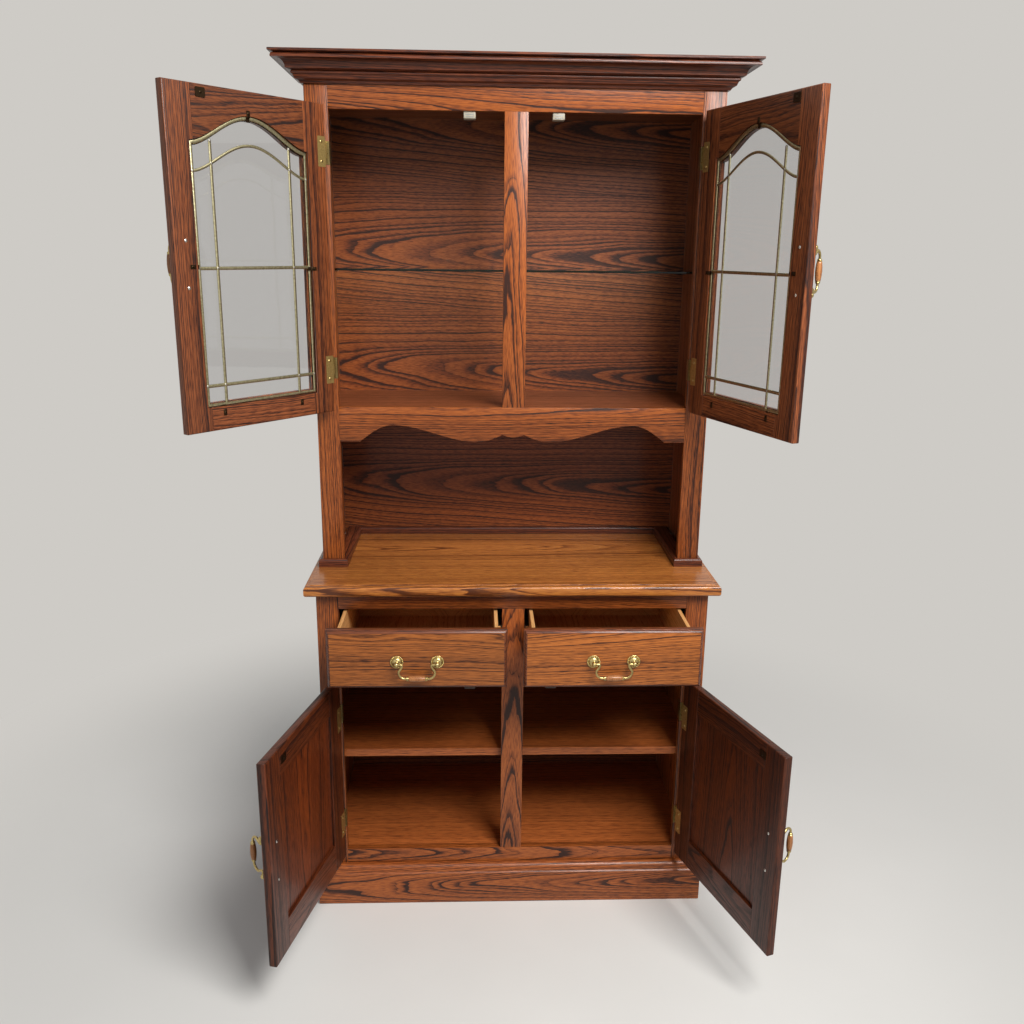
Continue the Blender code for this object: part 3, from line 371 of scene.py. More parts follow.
def turned(name, profile, sides):
    """Lathe work: a disc extruded and scaled ring by ring through (radius, height) points, bottom to top."""
    deselect_all()
    radius, height = profile[0]
    bpy.ops.mesh.primitive_circle_add(
        vertices=sides, radius=radius, fill_type="NGON", location=(0, 0, height)
    )
    bpy.ops.object.mode_set(mode="EDIT")
    bpy.ops.mesh.select_all(action="SELECT")
    for (before, low), (after, high) in zip(profile, profile[1:]):
        bpy.ops.mesh.extrude_region_move(TRANSFORM_OT_translate={"value": (0, 0, high - low)})
        ratio = after / before
        bpy.ops.transform.resize(value=(ratio, ratio, 1), center_override=(0, 0, high))
    bpy.ops.mesh.select_all(action="SELECT")
    bpy.ops.mesh.normals_make_consistent(inside=False)
    to_object_mode()
    return smooth(named(name), 50)


def oval(centre, radii, start, end, steps):
    """Points on part of an upright oval, angles in degrees, both ends included."""
    turns = [math.radians(start + (end - start) * i / steps) for i in range(steps + 1)]
    return [(centre[0] + radii[0] * math.cos(a), centre[1] + radii[1] * math.sin(a)) for a in turns]


def arc(centre, radius, start, end, steps):
    return oval(centre, (radius, radius), start, end, steps)


def curve_piece(name, points, closed, **settings):
    """A curve through points, turned to a mesh with its doubles merged."""
    curve = bpy.data.curves.new(name, "CURVE")
    for key, value in settings.items():
        setattr(curve, key, value)
    spline = curve.splines.new("POLY")
    spline.points.add(len(points) - 1)
    for point, co in zip(spline.points, points):
        point.co = (*co, 1)
    spline.use_cyclic_u = closed
    piece = bpy.data.objects.new(name, curve)
    bpy.context.scene.collection.objects.link(piece)
    choose(piece)
    bpy.ops.object.convert(target="MESH")
    piece = bpy.context.active_object
    pick(piece, "EDGE", lambda edge: True)
    bpy.ops.mesh.remove_doubles(threshold=0.00001)
    bpy.ops.mesh.normals_make_consistent(inside=False)
    to_object_mode()
    return piece


def flat_piece(name, outline, thickness):
    """A slab of an outline's shape that lies in the XY plane, with its middle on that plane."""
    points = [(x, y, 0) for x, y in outline]
    return curve_piece(name, points, True, dimensions="2D", fill_mode="BOTH", extrude=thickness / 2)


def merge_faces(piece):
    """Make each flat side of a slab one face, looking outwards."""
    pick(piece, "FACE", lambda face: True)
    bpy.ops.mesh.normals_make_consistent(inside=False)
    bpy.ops.mesh.dissolve_limited(angle_limit=math.radians(0.5))
    to_object_mode()
    return piece


def cut_out(name, outline, front, thickness):
    """A board sawn to an outline of (x, z) points, with its front at y = front."""
    piece = flat_piece(name, outline, thickness)
    return place(piece, moved((0, front + thickness / 2, 0)) @ spun(90, "X"))


def rod(name, points, radius, closed=False, sides=4):
    """Round wire along points."""
    bevel = {"bevel_depth": radius, "bevel_resolution": sides, "use_fill_caps": True}
    return smooth(curve_piece(name, points, closed, dimensions="3D", **bevel), 60)


def bent(points, steps=6):
    """A smooth run of points through the given ones."""
    points = [Vector(point) for point in points]
    run = []
    for i in range(len(points) - 1):
        a, b = points[i], points[i + 1]
        before = points[i - 1] if i else a
        after = points[i + 2] if i + 2 < len(points) else b
        out = (b - before) / 2
        into = (after - a) / 2
        for step in range(steps):
            t = step / steps
            near = a * (2 * t**3 - 3 * t**2 + 1) + out * (t**3 - 2 * t**2 + t)
            run.append(near + b * (3 * t**2 - 2 * t**3) + into * (t**3 - t**2))
    return [*run, points[-1]]


def saw(piece, along, face, bold=True, tone=1.0):
    """Store where in its log each point of a board lay and how dark it is, for the oak finishes to read.

    X runs up the log, and Y and Z start at its heart. A bold board is sawn over the heart and shows
    cathedrals, and the others are sawn beside it and show straighter grain.
    """
    dice = random.Random(piece.name)
    across = 3 - along - face
    corners = [Vector(corner) for corner in piece.bound_box]
    middle = (corners[0] + corners[6]) / 2
    heart_x = dice.uniform(0.0, 9.0)
    heart_y = dice.uniform(-0.02, 0.02) if bold else dice.choice((-1, 1)) * dice.uniform(0.055, 0.085)
    heart_z = dice.uniform(0.045, 0.070)
    lean = dice.uniform(-0.02, 0.02)
    taper = dice.choice((-1, 1)) * (dice.uniform(0.025, 0.05) if bold else dice.uniform(0.01, 0.03))
    places = []
    for vert in piece.data.vertices:
        p = vert.co - middle
        up = p[along]
        places += (up + heart_x, p[across] + heart_y + lean * up, p[face] + heart_z + taper * up)
    log = piece.data.attributes.new("log", "FLOAT_VECTOR", "POINT")
    log.data.foreach_set("vector", places)
    shade = piece.data.attributes.new("board_tone", "FLOAT", "POINT")
    shade.data.foreach_set("value", [tone * dice.uniform(0.88, 1.08)] * len(piece.data.vertices))
    return piece


def paint(piece, finish):
    piece.data.materials.append(bpy.data.materials[finish])
    return piece


def paint_where(piece, finish, test):
    """Give the faces that pass the test a second finish."""
    paint(piece, finish)
    for face in piece.data.polygons:
        face.material_index = int(test(face))


def fit(piece, body, finish=None, slot=None, replaces=()):
    """Give a piece its finish, unless it has one, and the body that it rides on."""
    if finish:
        piece.data.materials.clear()
        paint(piece, finish)
    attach(piece, body)
    if replaces:
        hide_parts(*replaces)
    return piece


def refinish(node, finish):
    """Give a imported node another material."""
    piece = frame["nodes"][node]
    if not piece.material_slots:
        piece.data.materials.append(None)
    for slot in piece.material_slots:
        slot.material = bpy.data.materials[finish]


# Finishes


def add(tree, kind, links=None, values=None, stops=(), **settings):
    """Add a node with its settings, its set values and the links into it.

    A link comes from a socket, or from the first output of a node. A colour ramp has (place, colour) stops.
    """
    node = tree.nodes.new(f"ShaderNode{kind}")
    for key, value in settings.items():
        setattr(node, key, value)
    for key, value in (values or {}).items():
        node.inputs[key].default_value = value
    for key, source in (links or {}).items():
        tree.links.new(getattr(source, "outputs", (source,))[0], node.inputs[key])
    for i, (where, colour) in enumerate(stops):
        elements = node.color_ramp.elements
        element = elements[i] if i < 2 else elements.new(where)
        element.position = where
        element.color = (*colour, 1.0)
    return node


def new_tree(name):
    """The empty node tree of a new material."""
    material = bpy.data.materials.new(name)
    material.use_nodes = True
    material.node_tree.nodes.clear()
    return material.node_tree


# How much stain the pores hold through a year, from spring to spring
SEASON = ((0.0, 1.0), (0.16, 0.8), (0.42, 0.2), (0.80, 0.03), (0.95, 0.2), (1.0, 1.0))

# Noise in a log: cells to the metre along it, cells to the metre across it, and detail
CLOUDS = {
    "swell": (2.2, 13, 2.0),  # the trunk swells and bends over decimetres, by up to 24 mm
    "waver": (18, 120, 2.0),  # each ring wavers over centimetres, by up to 1.8 mm
    "pores": (38, 900, 1.0),  # pores are 0.3 mm wide, and are drawn about 1 mm wide so that they show
    "blotch": (1.3, 6, 1.0),  # boards take the stain unevenly over hand widths
}


def oak(name, colours, ring, contrast=1.0, gloss=0.34, coat=0.15, sawn=None, fold=0.0):
    """Plain-sawn red oak under oil stain and satin lacquer. colours are late wood, early wood and pores.

    The stain gathers in the open pores of the early wood, so that each year, ring metres wide, shows as a
    dark line with a sharp inner and a soft outer edge. sawn is the turn, in degrees, and the shift that take
    Object coordinates into the log. Without it the board's own attributes do. fold repeats the log across a
    wide veneered panel.
    """
    late, early, pores = colours
    tree = new_tree(name)
    if sawn:
        turn, shift = sawn
        at = add(tree, "TexCoord").outputs["Object"]
        turn = [math.radians(a) for a in turn]
        log = add(tree, "Mapping", {"Vector": at}, {"Rotation": turn, "Location": shift})
    else:
        log = add(tree, "Attribute", attribute_name="log").outputs["Vector"]

    noise = {}
    for use, (along, across, detail) in CLOUDS.items():
        cells = add(tree, "VectorMath", {0: log}, {1: (along, across, across)}, operation="MULTIPLY")
        noise[use] = add(tree, "TexNoise", {"Vector": cells}, {"Scale": 1.0, "Detail": detail})

    if fold:
        parts = add(tree, "SeparateXYZ", {0: log}).outputs
        near = add(tree, "Math", {0: parts["Y"]}, {1: fold}, operation="PINGPONG")
        section = add(tree, "CombineXYZ", {"Y": near, "Z": parts["Z"]})
    else:
        section = add(tree, "VectorMath", {0: log}, {1: (0, 1, 1)}, operation="MULTIPLY")
    radius = add(tree, "VectorMath", {0: section}, operation="LENGTH").outputs["Value"]

    swell = add(tree, "Math", {0: noise["swell"], 2: radius}, {1: 0.024}, operation="MULTIPLY_ADD")
    wavy = add(tree, "Math", {0: noise["waver"], 2: swell}, {1: 0.0018}, operation="MULTIPLY_ADD")
    years = add(tree, "Math", {0: wavy}, {1: ring}, operation="DIVIDE")

    # No two years are as wide as each other or take the same stain.
    luck = add(tree, "TexNoise", {"W": years}, {"Scale": 0.45, "Detail": 1.0}, noise_dimensions="1D")
    uneven = add(tree, "Math", {0: luck, 2: years}, {1: 2.2}, operation="MULTIPLY_ADD")
    season = add(tree, "Math", {0: uneven}, operation="FRACT")
    year = add(tree, "Math", {0: uneven}, operation="FLOOR")
    chance = add(tree, "TexWhiteNoise", {"W": year}, noise_dimensions="1D")
    wet = add(tree, "MapRange", {"Value": chance}, {"To Min": 0.25, "To Max": 1.2})
    spring = add(tree, "ValToRGB", {"Fac": season}, stops=[(when, (held,) * 3) for when, held in SEASON])
    band = add(tree, "Math", {0: spring, 1: wet}, operation="MULTIPLY")

    sharp = {"From Min": 0.44, "From Max": 0.66}
    open_pore = add(tree, "MapRange", {"Value": noise["pores"]}, sharp)
    deep = add(tree, "Math", {0: band}, {1: 0.55, 2: 0.34}, operation="MULTIPLY_ADD")
    pitted = add(tree, "Math", {0: open_pore, 1: deep}, operation="MULTIPLY")
    stain = add(tree, "Math", {0: band, 2: pitted}, {1: 0.85 * contrast}, operation="MULTIPLY_ADD")
    colour = add(tree, "ValToRGB", {"Fac": stain}, stops=[(0.0, late), (0.30, early), (0.85, pores)])

    uneven_stain = {"From Min": 0.3, "From Max": 0.7, "To Min": 0.84, "To Max": 1.14}
    tone = add(tree, "MapRange", {"Value": noise["blotch"]}, uneven_stain)
    if not sawn:
        board = add(tree, "Attribute", attribute_name="board_tone").outputs["Fac"]
        tone = add(tree, "Math", {0: tone, 1: board}, operation="MULTIPLY")
    shaded = add(tree, "VectorMath", {0: colour, "Scale": tone}, operation="SCALE")
    rough = add(tree, "MapRange", {"Value": stain}, {"To Min": gloss, "To Max": gloss + 0.18})
    bump = add(tree, "Bump", {"Height": stain}, {"Strength": 0.22, "Distance": 0.0005}, invert=True)
    lacquer = {"Coat Weight": coat, "Coat Roughness": 0.16, "Specular IOR Level": 0.3}
    links = {"Base Color": shaded, "Roughness": rough, "Normal": bump}
    shader = add(tree, "BsdfPrincipled", links, lacquer)
    add(tree, "OutputMaterial", {"Surface": shader})


def metal(name, bright, dull, roughness, tarnish=0.5):
    """Polished or plated metal with tarnish and rubbing marks in patches about 4 mm wide."""
    tree = new_tree(name)
    at = add(tree, "TexCoord").outputs["Object"]
    cloud = add(tree, "TexNoise", {"Vector": at}, {"Scale": 260, "Detail": 3.0})
    spread = add(tree, "MapRange", {"Value": cloud}, {"From Min": 0.35, "From Max": 0.75, "To Max": tarnish})
    colour = add(tree, "ValToRGB", {"Fac": spread}, stops=[(0.0, bright), (1.0, dull)])
    rubbed = {"To Min": roughness * 0.7, "To Max": roughness * 1.5}
    rough = add(tree, "MapRange", {"Value": cloud}, rubbed)
    shader = add(tree, "BsdfPrincipled", {"Base Color": colour, "Roughness": rough}, {"Metallic": 1.0})
    add(tree, "OutputMaterial", {"Surface": shader})


def glass(name, tint, roughness):
    """Clear glass with a slight ripple, 70 mm wide. It is tinted, and lets nearly all lamplight through."""
    tree = new_tree(name)
    at = add(tree, "TexCoord").outputs["Object"]
    wave = add(tree, "TexNoise", {"Vector": at}, {"Scale": 14.0, "Detail": 1.0})
    bump = add(tree, "Bump", {"Height": wave}, {"Strength": 0.08, "Distance": 0.001})
    body = {"Base Color": (*tint, 1.0), "Roughness": roughness, "Transmission Weight": 1.0, "IOR": 1.45}
    shader = add(tree, "BsdfPrincipled", {"Normal": bump}, body)
    clear = add(tree, "BsdfTransparent", values={"Color": (*linear("f2f5f3"), 1.0)})
    ray = add(tree, "LightPath").outputs["Is Shadow Ray"]
    add(tree, "OutputMaterial", {"Surface": add(tree, "MixShader", {0: ray, 1: shader, 2: clear})})


def moulded(name, colour, worn):
    """Moulded plastic with faint yellowing, in patches about 10 mm wide."""
    tree = new_tree(name)
    at = add(tree, "TexCoord").outputs["Object"]
    cloud = add(tree, "TexNoise", {"Vector": at}, {"Scale": 90.0, "Detail": 2.0})
    tone = add(tree, "ValToRGB", {"Fac": cloud}, stops=[(0.3, colour), (0.8, worn)])
    shader = add(tree, "BsdfPrincipled", {"Base Color": tone}, {"Roughness": 0.42})
    add(tree, "OutputMaterial", {"Surface": shader})


def make_finishes(finish):
    frame_oak = (finish.latewood, finish.earlywood, finish.pores)
    # Face frames: warm brown oak with near-black pore lines under a satin sheen.
    oak("Stained oak frame", frame_oak, ring=0.0040, contrast=1.1)
    # Case sides, cut flat from wide boards: the frame's colours with softer lines.
    for side, sign in SIDES.items():
        upright = ((0, 90, 0), (0.4, 0.0, 0.04 + sign * CASE_HALF))
        oak(f"Stained oak side {side}", frame_oak, ring=0.0042, contrast=0.85, sawn=upright, fold=0.12)
    level = {"contrast": 0.55, "coat": 0.05, "sawn": ((0.0, 0.0, 0.0), (0.3, 0.95, 0.30))}
    veneer = {"gloss": 0.42, "sawn": ((-90, 4, 2), (0.2, -0.98, 0.25)), "fold": 0.15}
    drawer_side = {"gloss": 0.45, "sawn": ((0, 0, -90), (0.0, 0.0, -0.6)), "fold": 0.15}
    # Late wood, early wood, pores, how wide a year is, and other settings
    boards = {
        # Drawer fronts, which face the light: golden brown with fine close lines.
        "Stained oak drawer front": ("b0662d", "905020", "3c1b0b", 0.0034, {}),
        # Their moulded edges and sides, under more lacquer: dark and glossy, the darkness being painted shade
        # where they turn from the light.
        "Stained oak drawer edge": ("7d4324", "5c2c16", "2a110a", 0.0046, {"coat": 0.3}),
        # Upper door frames: mid brown with strong lines.
        "Stained oak door": ("94532e", "6c371c", "260f09", 0.0040, {"contrast": 1.1}),
        # Lower door frames, with little lacquer: deep brown and nearly matt, the depth of the brown being
        # painted shade for the dim light low on the cabinet.
        "Stained oak lower door": ("6d3418", "4b210f", "1a0905", 0.0038, {"coat": 0.08}),
        # Raised panels: a redder brown, darkened to the same depth of painted shade as the lower door frames.
        "Stained oak door panel": ("7c3816", "56230c", "1a0904", 0.0038, {}),
        # Tabletop, polished by use: golden, with clear reflections.
        "Stained oak tabletop": (
            "bb7838", "9f5d2a", "4f260e", 0.0038, {"contrast": 1.15, "gloss": 0.26, "coat": 0.35}
        ),
        # Crown and foot mouldings, stained twice: the darkest wood.
        "Dark oak moulding": ("6d361c", "4c2213", "1f0c07", 0.0052, {}),
        # Floor and shelf of the base, and floor and top of the hutch: plain straight grain, nearly matt.
        "Stained oak shelf board": ("b0622f", "924d24", "4a2413", 0.0034, level),
        "Stained oak hutch board": ("8d4f2c", "733b20", "34180d", 0.0034, level),
        # Backs of oak plywood: matt brown with rows of wide arrowheads from the same veneer.
        "Oak plywood back": ("8f4d24", "6c3417", "2a1109", 0.0068, {"contrast": 1.15, **veneer}),
        # Drawer boxes of clear maple: pale and plain.
        "Maple drawer side": ("d6a26a", "c89258", "a06c3e", 0.0048, {"contrast": 0.5, **drawer_side}),
        # Grips turned from walnut and varnished: light brown with a soft shine.
        "Turned walnut grip": ("b57a4a", "98623a", "5c301a", 0.0030, {"contrast": 0.6, "gloss": 0.28}),
    }
    for name, (late, early, pores, ring, settings) in boards.items():
        oak(name, (linear(late), linear(early), linear(pores)), ring, **settings)
    # Cast and drawn brass, polished and aged: small sharp yellow highlights.
    metal("Antique brass", finish.brass, linear("6d5a36"), 0.28)
    # Stamped brass left to tarnish: a dull yellow plate.
    metal("Aged brass leaf", linear("bda368"), linear("7a6638"), 0.46)
    # Rolled came with a grey-green bloom, and its tin solder.
    metal("Brass came", linear("b9b18e"), linear("6f6a4c"), 0.36, tarnish=0.8)
    metal("Solder", linear("a9a59a"), linear("6b675c"), 0.42)
    # Steel, from black oxide on the runners, kept dark as painted shade there and on the base catches' poles,
    # through zinc plate to bright screws.
    metal("Dark runner steel", linear("4c4a47"), linear("2c2b29"), 0.40)
    metal("Zinc plated steel", finish.steel, linear("77797b"), 0.32)
    metal("Bright screw steel", linear("d5d3cd"), linear("93918b"), 0.24)
    # Steel with a bronze plating: nearly black clips and strikes.
    metal("Bronze plate", linear("3a2c1e"), linear("1e1710"), 0.42)
    # Rolled sheet glass: clear and a little grey.
    glass("Sheet glass", linear("dfdfe0"), 0.02)
    # Plate glass: green to look through, and dark green where the light runs along it.
    glass("Plate glass shelf", linear("8fa89b"), 0.01)
    glass("Glass shelf edge", linear("2c4a3e"), 0.05)
    # Catches of moulded nylon: ivory under the lintel, and dark brown under the base's middle rail, a painted
    # shade where they sit in the base's shadow.
    moulded("Ivory plastic", linear("a9a292"), linear("958c79"))
    moulded("Brown plastic", linear("3f281b"), linear("2e1c12"))


# Carcass and face frames


def make_carcass():
    finishes = {
        "Stained oak side left": ("base_side_left", "hutch_side_left"),
        "Stained oak side right": ("base_side_right", "hutch_side_right"),
        "Stained oak shelf board": ("base_floor", "base_shelf"),
        "Stained oak hutch board": ("hutch_floor", "hutch_top"),
        "Oak plywood back": ("base_back", "hutch_back"),
        "Dark runner steel": ("runner_left", "runner_centre", "runner_right"),
    }
    for finish, nodes in finishes.items():
        for node in nodes:
            refinish(node, finish)


def stick(name, across, upright, along, bold=True, tone=1.0):
    """A stick of a face frame, from its spans across and up. Its name starts with base or hutch."""
    level = name.split("_")[0]
    front = FRAME_FRONT[level]
    piece = add_box(name, (across[0], front, upright[0]), (across[1], front + FRAME_T, upright[1]))
    ease(piece, bpy.context.scene.cabinet_sizes.ease)
    saw(piece, along, Y, bold, tone)
    return fit(piece, "cabinet", "Stained oak frame", "stained_oak", [f"{level}_face_frame"])


def shares(steps):
    """Even steps up to one."""
    return [i / steps for i in range(1, steps + 1)]


def valance_edge(half, height):
    """The valance's shaped lower edge from left to right, as heights over its ends."""
    end, crest, trough, cusp = (half * share for share in (0.883, 0.696, 0.212, 0.064))
    high, shoulder = height * 0.476, height * 0.207
    notch = shoulder * 0.64
    steps = 12
    run = [(-half, 0.0), (-end, 0.0)]
    for t in shares(steps):
        run.append((-end + (end - crest) * t, high * math.sin(math.pi / 2 * t)))
    for t in shares(2 * steps):
        run.append((-crest + (crest - trough) * t, high * (0.5 + 0.5 * math.cos(math.pi * t))))
    for t in shares(steps // 2):
        run.append((-trough + (trough - cusp) * t, shoulder * t * t))
    run.append((-cusp / 2, notch + (shoulder - notch) / 4))
    return [*run, (0.0, notch), *[(-x, z) for x, z in reversed(run)]]


def make_base_frame(sizes):
    inner, centre = CASE_HALF - sizes.stile, sizes.centre_stile / 2
    top = TABLE_UNDER - FIT
    for side, sign in SIDES.items():
        stick(f"base_stile_{side}", (sign * CASE_HALF, sign * inner), (0, top), Z, bold=False)
    stick("base_rail_bottom", (-inner, inner), (sizes.toe, BASE_FLOOR), X)
    stick("base_rail_top", (-inner, inner), (sizes.top_rail, top), X, bold=False)
    stick("base_stile_centre", (-centre, centre), (BASE_FLOOR, sizes.top_rail), Z)
    for side, sign in SIDES.items():
        middle = (sizes.mid_rail, sizes.drawer_floor)
        stick(f"base_rail_middle_{side}", (sign * centre, sign * inner), middle, X)


def make_hutch_frame(sizes):
    inner, centre = CASE_HALF - sizes.stile, sizes.centre_stile / 2
    low = TABLE_TOP + FIT
    for side, sign in SIDES.items():
        stick(f"hutch_stile_{side}", (sign * CASE_HALF, sign * inner), (low, HUTCH_TOP), Z, bold=False)
    # The hutch's top rail is painted lighter, tone 1.2, for the light that falls on it from above and in
    # front.
    stick("hutch_rail_top", (-inner, inner), (sizes.lintel, HUTCH_TOP), X, bold=False, tone=1.2)
    stick("hutch_stile_centre", (-centre, centre), (HUTCH_FLOOR, sizes.lintel), Z)
    edge = [(x, sizes.valance + z) for x, z in valance_edge(inner, HUTCH_FLOOR - sizes.valance)]
    outline = [*edge, (inner, HUTCH_FLOOR), (-inner, HUTCH_FLOOR)]
    valance = merge_faces(cut_out("hutch_valance", outline, HUTCH_FRONT, FRAME_T))
    ease(valance, sizes.ease * 2)
    saw(valance, X, Y, bold=False, tone=0.9)
    fit(valance, "cabinet", "Stained oak frame", "stained_oak", ["hutch_face_frame"])


# Mouldings

DARK = ("Dark oak moulding", "dark_oak")
LIGHT = ("Stained oak frame", "stained_oak")


def mould(name, profile, start, end, outward, mitres, low, wood, node, bold=False):
    """A length of moulding from start to end in plan, its profile standing outward of that line.

    A mitre is how far an end runs on for each unit that the profile stands out.
    """
    along = X if start[1] == end[1] else Y
    start, end, outward = Vector(start), Vector(end), Vector(outward)
    way = (end - start).normalized()
    piece = flat_piece(name, profile, 1.0)
    for vert in piece.data.vertices:
        out, up, side = vert.co
        station = start - way * out * mitres[0] if side < 0 else end + way * out * mitres[1]
        vert.co = (*(station + outward * out), low + up)
    smooth(merge_faces(piece), 30)
    saw(piece, along, X + Y - along, bold)
    return fit(piece, "cabinet", *wood, [node])


def run_moulding(name, profile, front, low, wood, bold=False):
    """Three mitred lengths round the case, each by its start, end, outward way and mitres."""
    out = CASE_HALF + FIT
    front = front - FIT
    lengths = {
        "left": ((-out, BACK_Y), (-out, front), (-1, 0), (0, 1)),
        "front": ((-out, front), (out, front), (0, -1), (1, 1)),
        "right": ((out, front), (out, BACK_Y), (1, 0), (1, 0)),
    }
    for part, way in lengths.items():
        mould(f"{name}_{part}", profile, *way, low, wood, name, bold)


def make_crown():
    """Lip, cap, cove, bead and foot, as shares of the crown's reach and rise."""
    reach, rise = 0.061, 0.059
    foot = [(0, 0), (0.082, 0), (0.131, 0.085), (0.246, 0.136)]
    bead = arc((0.303 * reach, 0.331 * rise), 0.0035, -90, 90, 10)
    cove = oval((0.787 * reach, 0.441 * rise), (0.279 * reach, 0.305 * rise), 180, 95, 10)
    cap = oval((0.770 * reach, 0.754 * rise), (0.156 * reach, 0.144 * rise), -10, 75, 8)
    lip = [(0.951, 0.907), (1, 0.924), (1, 0.985), (0.985, 1), (0, 1)]
    profile = [(out * reach, up * rise) for out, up in foot] + bead + [(0.393 * reach, 0.398 * rise)]
    profile += cove + cap + [(out * reach, up * rise) for out, up in lip]
    run_moulding("crown", profile, HUTCH_FRONT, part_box("crown")[0].z, DARK)


def make_plinth():
    """Plain board with a lip and a quarter round over it."""
    reach, rise, round_h, step = 0.021, 0.105, 0.017, 0.003
    shoulder = rise - round_h
    lip = shoulder - step
    quarter = oval((step, shoulder), (reach - 2 * step, round_h), 0, 90, 10)
    profile = [(0, 0), (reach - 0.003, 0), (reach - 0.0009, 0.0009), (reach, 0.003), (reach, lip - 0.0005)]
    profile += [(reach - 0.0006, lip), (reach - step, lip + 0.002), *quarter, (0, rise)]
    run_moulding("plinth", profile, BASE_FRONT, 0.0, LIGHT, bold=True)


def make_foot(sizes):
    """Small moulding round the hutch's feet and inside the niche."""
    reach, rise, radius = 0.0095, 0.019, 0.006
    profile = [(0, 0), (reach, 0), *arc((reach - radius, rise - radius), radius, 0, 90, 6), (0, rise)]
    low = TABLE_TOP + FIT
    out = CASE_HALF + FIT
    inner = CASE_HALF - sizes.stile - FIT
    front = HUTCH_FRONT - FIT
    back = BACK_FACE - FIT
    for side, sign in SIDES.items():
        lengths = {
            "side": ((sign * out, BACK_Y), (sign * out, front), (sign, 0), (0, 1)),
            "toe": ((sign * out, front), (sign * inner, front), (0, -1), (1, 1)),
            "inside": ((sign * inner, front), (sign * inner, back), (-sign, 0), (1, -1)),
        }
        for part, way in lengths.items():
            mould(f"foot_{part}_{side}", profile, *way, low, DARK, "foot_moulding")
        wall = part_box("hutch_side_right")[0].x
        corner = (sign * (inner + NEAR), HUTCH_FRONT + FRAME_T + FIT, low)
        block = add_box(f"foot_block_{side}", corner, (sign * wall, back, low + rise))
        ease(block, sizes.ease)
        saw(block, Y, X, bold=False)
        fit(block, "cabinet", *DARK, ["foot_moulding"])
    mould("foot_back", profile, (-inner, back), (inner, back), (0, -1), (-1, -1), low, DARK, "foot_moulding")


def make_tabletop():
    """The top, with a low step round its surface and its front and side edges rounded over."""
    low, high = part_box("tabletop")
    step, margin, edge_radius = 0.0014, 0.0125, 0.007
    piece = add_box("tabletop_boards", low, (high.x, high.y, high.z - step))
    raise_face(piece, Z, 1, ((margin, 0), (step, step)))
    round_edges(piece, on_rim(((X, low.x), (X, high.x), (Y, low.y)), Z), edge_radius, 6)
    smooth(piece, 40)
    saw(piece, X, Z, bold=False)
    fit(piece, "cabinet", "Stained oak tabletop", "stained_oak", ["tabletop"])


# Doors, drawn closed round their hinge pins


def door_place(name, sign):
    """Matrix that takes a closed door, drawn round its hinge pin, to where it stands open."""
    joint = JOINTS[f"{name}_hinge"]
    low, high = joint["range_deg"]
    opened = -low if sign > 0 else high
    pin = joint["pos_m"]
    return moved((pin[0], pin[1], 0)) @ spun(sign * opened, "Z")


def door_x(sizes, sign, u):
    """Place, from the pin, of what lies u in from a door's hinged edge."""
    return -sign * (sizes.hinge_out + u)


def arched(sizes, inset, low, spring):
    """Outline (u, z) of an opening with an arched top, inset from the door's two sides."""
    steps = 32
    half = sizes.door_width / 2 - inset
    outline = [(inset, low), (sizes.door_width - inset, low)]
    for i in range(steps + 1):
        t = 1 - 2 * i / steps
        lift = (0.5 + 0.5 * math.cos(math.pi * t)) ** 0.8
        outline.append((sizes.door_width / 2 + half * t, spring + sizes.arch_rise * lift))
    return outline


def rectangle(u0, u1, z0, z1):
    return [(u0, z0), (u1, z0), (u1, z1), (u0, z1)]


def make_door_sticks(name, sign, sizes, outlines, finish, cutter=None):
    """A door's stiles and rails, from outlines of (u, z) points. A cutter makes the glass rebate."""
    low, high = (corner.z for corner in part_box(f"{name}_frame"))
    rim = [(Z, low), (Z, high), *[(X, door_x(sizes, sign, u)) for u in (0, sizes.door_width)]]
    for part, (outline, along, bold, tone) in outlines.items():
        points = [(door_x(sizes, sign, u), z) for u, z in outline]
        piece = merge_faces(cut_out(f"{name}_{part}", points, DOOR_FRONT, DOOR_T))
        round_edges(piece, on_rim(rim, Y), sizes.door_edge)
        if cutter:
            carve(piece, cutter)
        ease(piece, sizes.ease, 1)
        saw(piece, along, Y, bold, tone)
        place(piece, door_place(name, sign))
        fit(piece, name, finish, "stained_oak", [f"{name}_frame"])


def make_upper_door(side, sign, sizes):
    name = f"upper_door_{side}"
    width = sizes.door_width
    low, high = (corner.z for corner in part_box(f"{name}_frame"))
    spring = high - sizes.arch_spring
    pane_low = low + sizes.upper_rail
    sight = sizes.upper_stile + sizes.rebate
    sight_low = pane_low + sizes.rebate
    arch = arched(sizes, sight, sight_low, spring - sizes.rebate)[2:]
    outlines = {
        "stile_hinge": (rectangle(0, sight, low, high), Z, False, 0.95),
        "stile_pull": (rectangle(width - sight, width, low, high), Z, False, 1.0),
        "rail_bottom": (rectangle(sight, width - sight, low, sight_low), X, False, 0.9),
        "rail_arched": ([*reversed(arch), (width - sight, high), (sight, high)], X, True, 0.62),
    }
    rebate = [(door_x(sizes, sign, u), z) for u, z in arched(sizes, sizes.upper_stile, pane_low, spring)]
    past_back = 2 * sizes.rebate
    cutter = cut_out("rebate", rebate, DOOR_BACK - sizes.rebate, past_back)
    make_door_sticks(name, sign, sizes, outlines, "Stained oak door", cutter)
    discard(cutter)
    refinish(f"{name}_glass", "Sheet glass")
    make_came(name, sign, sizes, pane_low, spring)


